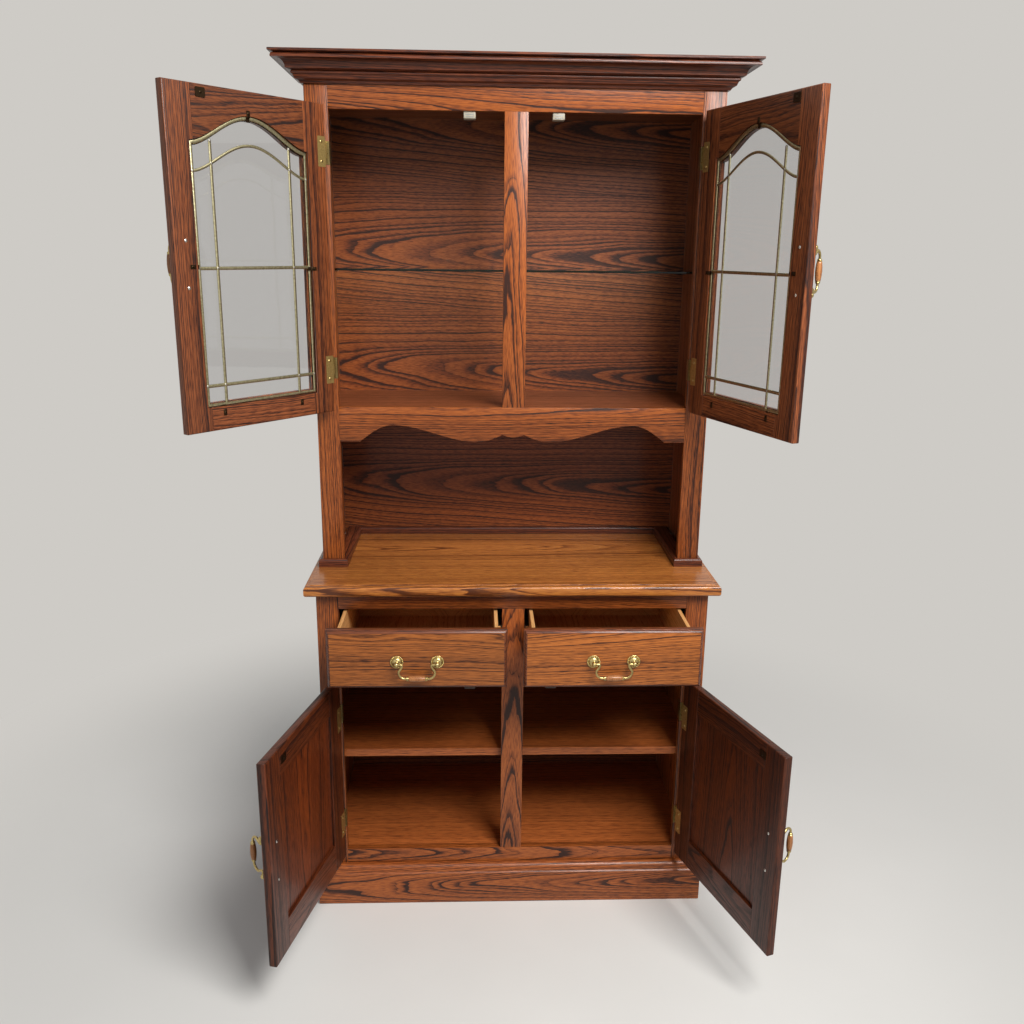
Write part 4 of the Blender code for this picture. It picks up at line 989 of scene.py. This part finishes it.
def make_came(name, sign, sizes, low, spring):
    """Came work on the pane: border, two uprights, two bars and an inner arch, soldered where they cross."""
    width = sizes.door_width
    half_border, half_bar = sizes.came_border / 2, sizes.came_bar / 2
    edge = sizes.upper_stile + FIT + half_border
    uprights = (sizes.upper_stile + UPRIGHT_IN, width - sizes.upper_stile - UPRIGHT_IN)
    bars = [low + up for up in BARS_UP]
    border = arched(sizes, edge, low + FIT + half_border, spring - half_border)
    inner_arch = arched(sizes, edge, 0, spring - INNER_DOWN)[2:]
    lines = [(border, half_border)]
    lines += [([(u, low + half_border), (u, spring + UPRIGHT_PAST)], half_bar) for u in uprights]
    lines += [([(edge, z), (width - edge, z)], half_bar) for z in bars]
    lines.append((inner_arch, half_bar * INNER_SHARE))
    strips = []
    for line, half in lines:
        strip = rod("strip", [(door_x(sizes, sign, u), 0, z) for u, z in line], half, line is border, 3)
        strips.append(place(strip, moved((0, CAME_Y, 0)) @ stretched(1, CAME_HALF_T / half, 1)))
    came = place(joined(f"{name}_came_work", strips), door_place(name, sign))
    fit(came, name, "Brass came", "antique_brass", [f"{name}_came"])

    under_arch = spring + 0.002
    crossings = [(u, z) for u in (edge, *uprights, width - edge) for z in bars]
    crossings += [(u, under_arch) for u in uprights]
    crossings += [inner_arch[0], inner_arch[-1]]
    crossings += [min(inner_arch, key=lambda point: abs(point[0] - u)) for u in uprights]
    ball = place(add_ball("ball", SOLDER, 12, 8), stretched(1, 0.55, 1))
    places = [(door_x(sizes, sign, u), CAME_Y + SOLDER_OUT, z) for u, z in crossings]
    dots = [copy_of(ball, "dot", moved(at)) for at in places]
    discard(ball)
    fit(place(joined(f"{name}_solder", dots), door_place(name, sign)), name, "Solder")


def make_lower_door(side, sign, sizes):
    name = f"lower_door_{side}"
    width, stile = sizes.door_width, sizes.lower_stile
    low, high = (corner.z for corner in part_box(f"{name}_frame"))
    sill, head = low + sizes.lower_rail, high - sizes.lower_top_rail
    # tone is this door's painted shade, deepest on the right door, which turns its face from the key lamp.
    tone = LOWER_DOOR_PAINTED_SHADE[side]
    outlines = {
        "stile_hinge": (rectangle(0, stile, low, high), Z, False, tone),
        "stile_pull": (rectangle(width - stile, width, low, high), Z, False, tone * 0.9),
        "rail_bottom": (rectangle(stile, width - stile, low, sill), X, True, tone),
        "rail_top": (rectangle(stile, width - stile, head, high), X, False, tone),
    }
    make_door_sticks(name, sign, sizes, outlines, "Stained oak lower door")

    # The panel's tongue stands in the frame, and a slope with a small step rises to its field.
    tongue, tongue_t, flat = 0.0077, 0.006, 0.002
    slope, step = (0.034, 0.005), (0.0005, 0.001)
    back = DOOR_BACK - tongue_t
    near, far = (door_x(sizes, sign, u) for u in (stile - tongue, width - stile + tongue))
    corners = (near, back - FIT, sill - tongue), (far, back - tongue_t + FIT, head + tongue)
    panel = add_box(f"{name}_raised_panel", *corners)
    raise_face(panel, Y, -1, ((tongue + flat, 0), slope, step))
    ease(panel, sizes.ease / 2, 1)
    saw(panel, Z, Y, tone=tone)
    place(panel, door_place(name, sign))
    fit(panel, name, "Stained oak door panel", "panel_oak", [f"{name}_panel"])


# Drawers


def make_drawer(side):
    """A lipped front with moulded edges, and the finish of its box."""
    name = f"drawer_{side}"
    low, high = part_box(f"{name}_front")
    lip, fillet, slope, rise, soft = 0.0125, 0.0015, 0.005, 0.0065, 0.0008
    front = add_box(f"{name}_lipped_front", (low.x, high.y - lip, low.z), high)
    rounded = ((0.15, 0.40), (0.35, 0.35), (0.50, 0.25))
    raise_face(front, Y, -1, [(fillet, 0), *[(slope * wide, rise * tall) for wide, tall in rounded]])
    ease(front, soft)
    saw(front, X, Y, bold=False, tone=DRAWER_TONE[side])
    fit(front, name, "Stained oak drawer front", "stained_oak", [f"{name}_front"])
    field_y = min(vert.co.y for vert in front.data.vertices) + NEAR
    # The moulded edges and sides take the darker oak, which is painted shade.
    paint_where(front, "Stained oak drawer edge", lambda face: face.center.y > field_y)
    refinish(f"{name}_box", "Maple drawer side")


# Hinges, drawn round the middle of their pins


def screw_head(name, radius, finish):
    """Raised countersunk head with a cross slot, its face looking along +Z."""
    dome = ((1, 0.0), (1, 0.0003), (0.8, 0.0009), (0.4, 0.0013), (0.05, 0.0014))
    head = turned(name, [(radius * share, up) for share, up in dome], 20)
    slot_half, slot_floor = 0.00035, 0.0005
    for turn in (0, 90):
        slot = add_box("slot", (-radius * 0.62, -slot_half, slot_floor), (radius * 0.62, slot_half, 0.003))
        carve(head, place(slot, spun(turn, "Z")))
        discard(slot)
    return paint(smooth(head, 40), finish)


def screws(screw, x, y, direction):
    """The two screws of a hinge leaf."""
    return [copy_of(screw, "screw", moved((x, y, z)) @ facing(direction)) for z in (SCREW_UP, -SCREW_UP)]


def make_frame_half(sign, screw):
    """Leaf on the stile's face with its webs, outer knuckles and finials, and a wing into the opening."""
    leaf_out, leaf_y = (0.002, 0.0238), (0.0115, 0.0127)
    web_out, web_front, screw_out, sunk = (0.0018, 0.0032), 0.001, 0.0145, 0.0001
    wing_in, wing_y, wing_half, wrap_back = (0.0112, 0.0118), (0.0122, 0.0128), 0.024, 0.0300
    profile = [(KNUCKLE * 0.9, OUTER_KNUCKLE - 0.0002), (KNUCKLE, OUTER_KNUCKLE)]
    profile += [(KNUCKLE * share, HINGE_HALF + up) for share, up in FINIAL]
    post = turned("post", profile, bpy.context.scene.cabinet_finish.turning)
    parts = [post, copy_of(post, "post", stretched(1, 1, -1))]
    corners = (sign * leaf_out[0], leaf_y[0], -HINGE_HALF), (sign * leaf_out[1], leaf_y[1], HINGE_HALF)
    parts.append(round_edges(add_box("leaf", *corners), through(Y), LEAF_CORNER))
    far = (-sign * wing_in[1], wing_y[1], wing_half)
    parts.append(add_box("wing", (sign * leaf_out[0], wing_y[0], -wing_half), far))
    far = (-sign * wing_in[1], wrap_back, wing_half)
    parts.append(add_box("wrap", (-sign * wing_in[0], wing_y[0], -wing_half), far))
    for flip in (1, -1):
        near = (sign * web_out[0], web_front, flip * OUTER_KNUCKLE)
        parts.append(add_box("web", near, (sign * web_out[1], leaf_y[1], flip * HINGE_HALF)))
    for part in parts:
        paint(part, "Antique brass")
    return joined("frame_half", parts + screws(screw, sign * screw_out, leaf_y[0] + sunk, FORWARD))


def make_door_half(sign, screw):
    """Leaf on a door's back, with its web and middle knuckle."""
    leaf_in, leaf_front, back = (0.005, 0.027), DOOR_BACK - 0.0010, DOOR_BACK + 0.0001
    web_in, web_front, middle, screw_in = (0.0028, 0.0052), -0.0006, 0.010, 0.0165
    near = (-sign * leaf_in[0], leaf_front, -HINGE_HALF)
    leaf = add_box("leaf", near, (-sign * leaf_in[1], back, HINGE_HALF))
    round_edges(leaf, through(Y), LEAF_CORNER)
    web = add_box("web", (-sign * web_in[0], web_front, -middle), (-sign * web_in[1], back, middle))
    barrel = turned("barrel", [(KNUCKLE, -middle), (KNUCKLE, middle)], 24)
    parts = [paint(part, "Aged brass leaf") for part in (leaf, web, barrel)]
    return joined("door_half", parts + screws(screw, -sign * screw_in, DOOR_BACK, BACKWARD))


def make_hinges():
    screw = screw_head("hinge_screw", 0.0032, "Antique brass")
    halves = {sign: (make_frame_half(sign, screw), make_door_half(sign, screw)) for sign in SIDES.values()}
    for level in ("upper", "lower"):
        for side, sign in SIDES.items():
            frame_half, door_half = halves[sign]
            door = f"{level}_door_{side}"
            pin = JOINTS[f"{door}_hinge"]["pos_m"]
            for end in ("top", "bottom"):
                node = f"{level}_hinge_{side}_{end}"
                height = (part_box(node)[0].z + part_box(node)[1].z) / 2
                at = moved((pin[0], pin[1], height))
                piece = copy_of(frame_half, f"{level}_frame_hinge_{side}_{end}", at)
                fit(piece, "cabinet", None, "antique_brass", [node])
                at = door_place(door, sign) @ moved((0, 0, height))
                piece = copy_of(door_half, f"{door}_leaf_{end}", at)
                fit(piece, door, None, "antique_brass", [f"{door}_frame"])
    discard(screw, *halves[-1], *halves[1])


# Bail pulls


def make_rosette(sizes):
    """Domed rosette with a beaded rim, a neck and a ball, drawn with its back on z = 0."""
    ball, bead_radius, bead_count, bead_ring, bead_up = 0.0055, 0.0015, 22, 0.0131, 0.0018
    profile = [*ROSETTE, *[(r, sizes.post_reach + up) for r, up in arc((0, 0), ball, -52, 86, 10)]]
    rosette = turned("rosette", profile, bpy.context.scene.cabinet_finish.turning)
    bead = add_ball("bead", bead_radius, 8, 6)
    parts = [rosette]
    for i in range(bead_count):
        a = 2 * math.pi * i / bead_count
        at = moved((bead_ring * math.cos(a), bead_ring * math.sin(a), bead_up))
        parts.append(copy_of(bead, "bead", at))
    discard(bead)
    return joined("rosette", parts)


def make_bail_wire(sizes):
    """Bail wire with its two brass caps, drawn standing out along -Y from the posts' axis on Z."""
    end, drop, bow_radius = sizes.pull_centres / 2, sizes.bail_drop, 0.0145
    shoulder = end - 0.0125
    # Half the wire, as places along the posts' axis and down from it
    bow = arc((end - 0.0195, drop - bow_radius), bow_radius, -10, 78, 5)
    half = [(end + 0.0015, 0), (shoulder + 0.005, 0), (shoulder + 0.0012, 0.0006), (shoulder, 0.0034)]
    half += [(shoulder + 0.0028, 0.0095), *bow, (0.0225, drop), (0.0200, drop)]
    ferrule = turned("ferrule", FERRULE, 24)
    parts = []
    for flip in (1, -1):
        points = bent([(0, -down, flip * along) for along, down in half], 3)
        parts.append(rod("wire", points, 0.0027, sides=3))
        parts.append(copy_of(ferrule, "ferrule", moved((0, -drop, 0)) @ stretched(1, 1, flip)))
    discard(ferrule)
    return joined("wire", parts)


def make_grip(sizes):
    """Turned wooden grip, thickest in its middle, drawn where it sits on the wire."""
    half = 0.0186
    side = [(0.0045, 0.0), (0.0052, 0.0008), (0.0059, 0.0050), (0.0065, 0.0110), (0.0068, half)]
    profile = [(r, h - half) for r, h in side] + [(r, half - h) for r, h in reversed(side[:-1])]
    return place(turned("grip", profile, 24), moved((0, -sizes.bail_drop, 0)))


def make_pulls(sizes):
    rosette, wire, grip = make_rosette(sizes), make_bail_wire(sizes), make_grip(sizes)
    for side, sign in SIDES.items():
        for owner in (f"upper_door_{side}", f"lower_door_{side}", f"drawer_{side}"):
            joint = JOINTS[f"{owner}_bail_swing"]
            if owner.startswith("drawer"):
                turn, swing = spun(90, "Y"), 90
            else:
                turn, swing = door_place(owner, sign).to_3x3().to_4x4(), -sum(joint["range_deg"]) / 2
            base = moved(joint["pos_m"]) @ turn
            for end, flip in ENDS.items():
                at = base @ moved((0, sizes.post_reach - FIT, flip * sizes.pull_centres / 2))
                piece = copy_of(rosette, f"{owner}_beaded_rosette_{end}", at @ facing(FORWARD))
                fit(piece, owner, "Antique brass", "antique_brass", [f"{owner}_rosette_{end}"])
            bail = f"{owner}_bail"
            hung = base @ spun(swing, "Z")
            fit(copy_of(wire, f"{bail}_wire", hung), bail, "Antique brass", "antique_brass", [bail])
            fit(saw(copy_of(grip, f"{owner}_grip", hung), Z, Y), bail, "Turned walnut grip")
    discard(rosette, wire, grip)


# Small fittings


def strike_height(level, side):
    """Height of the middle of a door's strike plate."""
    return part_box(f"{level}_door_{side}_frame")[1].z - STRIKE_DOWN[level]


def make_catches(sizes):
    """Magnetic catches with two steel poles: ivory under the lintel, and brown, as painted shade, under the
    middle rail.
    """
    catches = (
        ("hutch", "upper", sizes.lintel, "Ivory plastic", "Zinc plated steel"),
        ("base", "lower", sizes.mid_rail, "Brown plastic", "Dark runner steel"),
    )
    half, deep, least_high, past_strike = 0.013, 0.028, 0.012, 0.006
    pole_half, pole_t, proud, sunk, soft = 0.009, 0.0018, 0.0005, 0.0025, 0.0012
    for level, owner, high, plastic, steel in catches:
        front = FRAME_FRONT[level] + CATCH_BACK
        for side, sign in SIDES.items():
            x = sign * CATCH_X[side]
            low = min(high - least_high, strike_height(owner, side) - past_strike)
            body = add_box(f"{level}_catch_{side}", (x - half, front, low), (x + half, front + deep, high))
            ease(body, soft, 3)
            fit(body, "cabinet", plastic, None, [f"{level}_face_frame"])
            poles = []
            for z in (low + 0.0025, low + 0.0075):
                far = (x + pole_half, front + sunk, z + pole_t)
                poles.append(add_box("pole", (x - pole_half, front - proud, z), far))
            fit(ease(joined(f"{level}_catch_poles_{side}", poles), STAMPED, 1), "cabinet", steel)


def make_strike(screw):
    """Strike plate with its screw, drawn with its back on y = 0."""
    half_wide, half_high, thick, corner = 0.011, 0.009, 0.0012, 0.0025
    plate = add_box("plate", (-half_wide, 0, -half_high), (half_wide, thick, half_high))
    round_edges(plate, through(Y), corner)
    paint(ease(plate, STAMPED, 1), "Bronze plate")
    head = copy_of(screw, "screw", moved((0, thick - 0.0001, 0)) @ facing(BACKWARD))
    return joined("strike", [plate, head])


def make_clip(screw):
    """A stamped clip that holds the glass: a foot on the wood, a step down and a tongue over the pane."""
    half_wide, thick, foot_high, screw_up = 0.004, 0.0009, 0.012, 0.0065
    step_down, tongue = (0, -0.0022, -0.003), (0, 0, -0.007)
    foot = add_box("foot", (-half_wide, 0.0, 0.0), (half_wide, thick, foot_high))
    pick(foot, "FACE", lambda face: face.normal.z < -0.9)
    for way in (step_down, tongue):
        bpy.ops.mesh.extrude_region_move(TRANSFORM_OT_translate={"value": way})
    to_object_mode()
    paint(ease(foot, STAMPED, 1), "Bronze plate")
    head = copy_of(screw, "screw", moved((0, thick - 0.0001, screw_up)) @ facing(BACKWARD))
    return joined("clip", [foot, head])


def make_door_fittings(sizes):
    """Strikes, glass clips and the pulls' screws, on the doors' backs."""
    screw = screw_head("clip_screw", 0.0028, "Bronze plate")
    pull_screw = screw_head("pull_screw", 0.0035, "Bright screw steel")
    strike, clip = make_strike(screw), make_clip(screw)
    overlap = 0.006  # of a door over its stile
    for side, sign in SIDES.items():
        for level in ("upper", "lower"):
            door = f"{level}_door_{side}"
            opened = door_place(door, sign)
            x = -sign * (sizes.hinge_out + CASE_HALF - sizes.stile + overlap - CATCH_X[side])
            at = opened @ moved((x, DOOR_BACK + FIT, strike_height(level, side)))
            fit(copy_of(strike, f"{door}_strike", at), door)
            pivot = opened.inverted() @ Vector(JOINTS[f"{door}_bail_swing"]["pos_m"])
            for end, flip in ENDS.items():
                at = opened @ moved((pivot.x, DOOR_BACK, pivot.z + flip * sizes.pull_centres / 2))
                head = copy_of(pull_screw, f"{door}_pull_screw_{end}", at @ facing(BACKWARD))
                fit(head, door, None, "zinc_steel")
        door = f"upper_door_{side}"
        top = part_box(f"{door}_frame")[1].z
        for i, (u, down, turn) in enumerate(CLIPS):
            at = moved((door_x(sizes, sign, u), DOOR_BACK + CLIP_OUT, top - down)) @ spun(turn * -sign, "Y")
            fit(copy_of(clip, f"{door}_clip_{i + 1}", door_place(door, sign) @ at), door)
    discard(screw, pull_screw, strike, clip)


def make_glass_shelf(sizes):
    """Plate glass, whose polished edges look dark green, and metal sleeves on the pins under it."""
    low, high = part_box("glass_shelf")
    pane = ease(add_box("glass_shelf_pane", low, high), sizes.ease, 1)
    fit(pane, "cabinet", "Plate glass shelf", "clear_glass", ["glass_shelf"])
    paint_where(pane, "Glass shelf edge", lambda face: abs(face.normal.z) < 0.9)
    side_t, from_edge, pin_radius = 0.016, 0.040, 0.0029  # the side's thickness, and where the pins stand
    sleeve = turned("sleeve", [(0.0031, 0.0), (0.0031, 0.0105), (0.0027, 0.0124), (0.0008, 0.0128)], 20)
    for side, sign in SIDES.items():
        for label, y in (("front", low.y + from_edge), ("back", high.y - from_edge + FIT)):
            at = moved((sign * CASE_HALF - sign * side_t, y, low.z - FIT - pin_radius))
            pin = copy_of(sleeve, f"shelf_pin_{side}_{label}", at @ facing((-sign, 0, 0)))
            fit(pin, "cabinet", "Zinc plated steel", "zinc_steel")
    discard(sleeve)


# Stage


def seen_directly(tree):
    """One for rays that the camera sees, through glass and in metal too, and nought for the rest."""
    rays = add(tree, "LightPath").outputs
    direct = rays["Is Camera Ray"]
    for kind in ("Is Transmission Ray", "Is Glossy Ray"):
        direct = add(tree, "Math", {0: direct, 1: rays[kind]}, operation="MAXIMUM")
    return direct


def floor_finish(name):
    """Pale floor that keeps the shadows and runs out, as the camera sees it, into the background."""
    tree = new_tree(name)
    at = add(tree, "TexCoord").outputs["Object"]
    cloud = add(tree, "TexNoise", {"Vector": at}, {"Scale": 3.0, "Detail": 3.0})
    colour = add(tree, "ValToRGB", {"Fac": cloud}, stops=[(0.2, linear("dddcd9")), (0.8, linear("e2e1de"))])
    shader = add(tree, "BsdfPrincipled", {"Base Color": colour}, {"Roughness": 0.6})
    far = add(tree, "VectorMath", {0: at}, operation="LENGTH").outputs["Value"]
    reach = {"From Min": 0.55, "From Max": 1.9}
    run_out = add(tree, "MapRange", {"Value": far}, reach, interpolation_type="SMOOTHSTEP")
    share = add(tree, "Math", {0: run_out, 1: seen_directly(tree)}, operation="MULTIPLY")
    plain = add(tree, "Emission", values={"Color": (*BACKGROUND, 1.0), "Strength": 1.0})
    mix = add(tree, "MixShader", {0: share, 1: shader, 2: plain})
    add(tree, "OutputMaterial", {"Surface": mix})


def make_floor():
    deselect_all()
    bpy.ops.mesh.primitive_plane_add(size=30.0)
    floor = named("studio_floor")
    floor_finish("Pale studio floor")
    paint(floor, "Pale studio floor")


def make_world():
    """Soft fill from all round, behind which the camera sees the plain background."""
    world = bpy.data.worlds.new("Studio")
    world.use_nodes = True
    bpy.context.scene.world = world
    tree = world.node_tree
    tree.nodes.clear()
    fill = add(tree, "Background", values={"Color": (0.95, 0.97, 1.0, 1.0), "Strength": 0.20})
    shown = add(tree, "Background", values={"Color": (*BACKGROUND, 1.0), "Strength": 1.0})
    mix = add(tree, "MixShader", {0: seen_directly(tree), 1: fill, 2: shown})
    add(tree, "OutputWorld", {"Surface": mix})


def make_lamps():
    """A high key lamp on the right and a weak wide one on the left: place, target, size, watts, colour."""
    lamps = {
        "key": ((1.05, -2.10, 3.15), (0.0, -0.1, 1.1), 1.4, 140.0, (1.0, 0.985, 0.96)),
        "fill": ((-2.4, -3.0, 2.1), (0.0, 0.0, 1.2), 2.4, 10.0, (0.95, 0.97, 1.0)),
    }
    for name, (where, target, size, power, colour) in lamps.items():
        bpy.ops.object.light_add(type="AREA", location=where)
        lamp = bpy.context.active_object
        lamp.name = name
        lamp.data.size = size
        lamp.data.energy = power
        lamp.data.color = colour
        lamp.rotation_euler = (Vector(target) - Vector(where)).to_track_quat("-Z", "Y").to_euler()


def make_camera():
    """The camera of the photograph, by its angles in radians, its place and its lens."""
    yaw, pitch, roll = 0.0387, -0.2668, 0.0111
    forward = Vector((math.sin(yaw) * math.cos(pitch), math.cos(yaw) * math.cos(pitch), math.sin(pitch)))
    level = Vector((math.cos(yaw), -math.sin(yaw), 0))
    upward = level.cross(forward)
    right = math.cos(roll) * level + math.sin(roll) * upward
    up = math.cos(roll) * upward - math.sin(roll) * level
    matrix = Matrix((right, up, -forward)).transposed().to_4x4()
    matrix.translation = (-0.0873, -2.3138, 1.591)
    data = bpy.data.cameras.new("Photograph")
    data.sensor_width = 36.0
    data.lens = 33.82
    camera = bpy.data.objects.new("Photograph", data)
    bpy.context.scene.collection.objects.link(camera)
    camera.matrix_world = matrix
    bpy.context.scene.camera = camera
    bpy.context.scene.view_settings.view_transform = "Standard"


# Operators


class CABINET_OT_finishes(bpy.types.Operator):
    """Make the wood, metal, glass and plastic finishes"""

    bl_idname = "cabinet.finishes"
    bl_label = "Finishes"

    def execute(self, context):
        make_finishes(context.scene.cabinet_finish)
        return {"FINISHED"}


class CABINET_OT_carcass(bpy.types.Operator):
    """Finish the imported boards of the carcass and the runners"""

    bl_idname = "cabinet.carcass"
    bl_label = "Carcass"

    def execute(self, context):
        make_carcass()
        return {"FINISHED"}


class CABINET_OT_face_frames(bpy.types.Operator):
    """Make the stiles, rails and valance of both face frames"""

    bl_idname = "cabinet.face_frames"
    bl_label = "Face frames"

    def execute(self, context):
        make_base_frame(context.scene.cabinet_sizes)
        make_hutch_frame(context.scene.cabinet_sizes)
        return {"FINISHED"}


class CABINET_OT_mouldings(bpy.types.Operator):
    """Run the crown, plinth and foot mouldings and make the tabletop"""

    bl_idname = "cabinet.mouldings"
    bl_label = "Mouldings and top"

    def execute(self, context):
        make_crown()
        make_plinth()
        make_foot(context.scene.cabinet_sizes)
        make_tabletop()
        return {"FINISHED"}


class CABINET_OT_upper_doors(bpy.types.Operator):
    """Make the arched glass doors with their cames"""

    bl_idname = "cabinet.upper_doors"
    bl_label = "Upper doors"

    def execute(self, context):
        for side, sign in SIDES.items():
            make_upper_door(side, sign, context.scene.cabinet_sizes)
        return {"FINISHED"}


class CABINET_OT_lower_doors(bpy.types.Operator):
    """Make the doors with raised panels"""

    bl_idname = "cabinet.lower_doors"
    bl_label = "Lower doors"

    def execute(self, context):
        for side, sign in SIDES.items():
            make_lower_door(side, sign, context.scene.cabinet_sizes)
        return {"FINISHED"}


class CABINET_OT_drawers(bpy.types.Operator):
    """Make the lipped drawer fronts and finish the boxes"""

    bl_idname = "cabinet.drawers"
    bl_label = "Drawers"

    def execute(self, context):
        for side in SIDES:
            make_drawer(side)
        return {"FINISHED"}


class CABINET_OT_hinges(bpy.types.Operator):
    """Make the finial hinges and their screws"""

    bl_idname = "cabinet.hinges"
    bl_label = "Hinges"

    def execute(self, context):
        make_hinges()
        return {"FINISHED"}


class CABINET_OT_pulls(bpy.types.Operator):
    """Make the six bail pulls"""

    bl_idname = "cabinet.pulls"
    bl_label = "Bail pulls"

    def execute(self, context):
        make_pulls(context.scene.cabinet_sizes)
        return {"FINISHED"}


class CABINET_OT_fittings(bpy.types.Operator):
    """Make the catches, strikes, glass clips, pull screws, glass shelf and shelf pins"""

    bl_idname = "cabinet.fittings"
    bl_label = "Small fittings"

    def execute(self, context):
        make_catches(context.scene.cabinet_sizes)
        make_door_fittings(context.scene.cabinet_sizes)
        make_glass_shelf(context.scene.cabinet_sizes)
        return {"FINISHED"}


class CABINET_OT_stage(bpy.types.Operator):
    """Set up the floor, the world, the lamps and the camera"""

    bl_idname = "cabinet.stage"
    bl_label = "Stage"

    def execute(self, context):
        make_floor()
        make_world()
        make_lamps()
        make_camera()
        return {"FINISHED"}


OPERATORS = (
    CABINET_OT_finishes,
    CABINET_OT_carcass,
    CABINET_OT_face_frames,
    CABINET_OT_mouldings,
    CABINET_OT_upper_doors,
    CABINET_OT_lower_doors,
    CABINET_OT_drawers,
    CABINET_OT_hinges,
    CABINET_OT_pulls,
    CABINET_OT_fittings,
    CABINET_OT_stage,
)


class CABINET_PT_panel(bpy.types.Panel):
    """China cabinet"""

    bl_label = "China cabinet"
    bl_idname = "CABINET_PT_panel"
    bl_space_type = "VIEW_3D"
    bl_region_type = "UI"
    bl_category = "Cabinet"

    def draw(self, context):
        for group in (context.scene.cabinet_sizes, context.scene.cabinet_finish):
            for key in group.__annotations__:
                self.layout.prop(group, key)
        for operator in OPERATORS:
            self.layout.operator(operator.bl_idname)


CLASSES = (CabinetSizes, CabinetFinish, *OPERATORS, CABINET_PT_panel)


def register():
    for item in CLASSES:
        bpy.utils.register_class(item)
    bpy.types.Scene.cabinet_sizes = PointerProperty(type=CabinetSizes)
    bpy.types.Scene.cabinet_finish = PointerProperty(type=CabinetFinish)


def unregister():
    del bpy.types.Scene.cabinet_finish
    del bpy.types.Scene.cabinet_sizes
    for item in reversed(CLASSES):
        bpy.utils.unregister_class(item)


def main():
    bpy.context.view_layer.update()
    register()
    for operator in OPERATORS:
        group, action = operator.bl_idname.split(".")
        getattr(getattr(bpy.ops, group), action)()


if __name__ == "__main__":
    main()
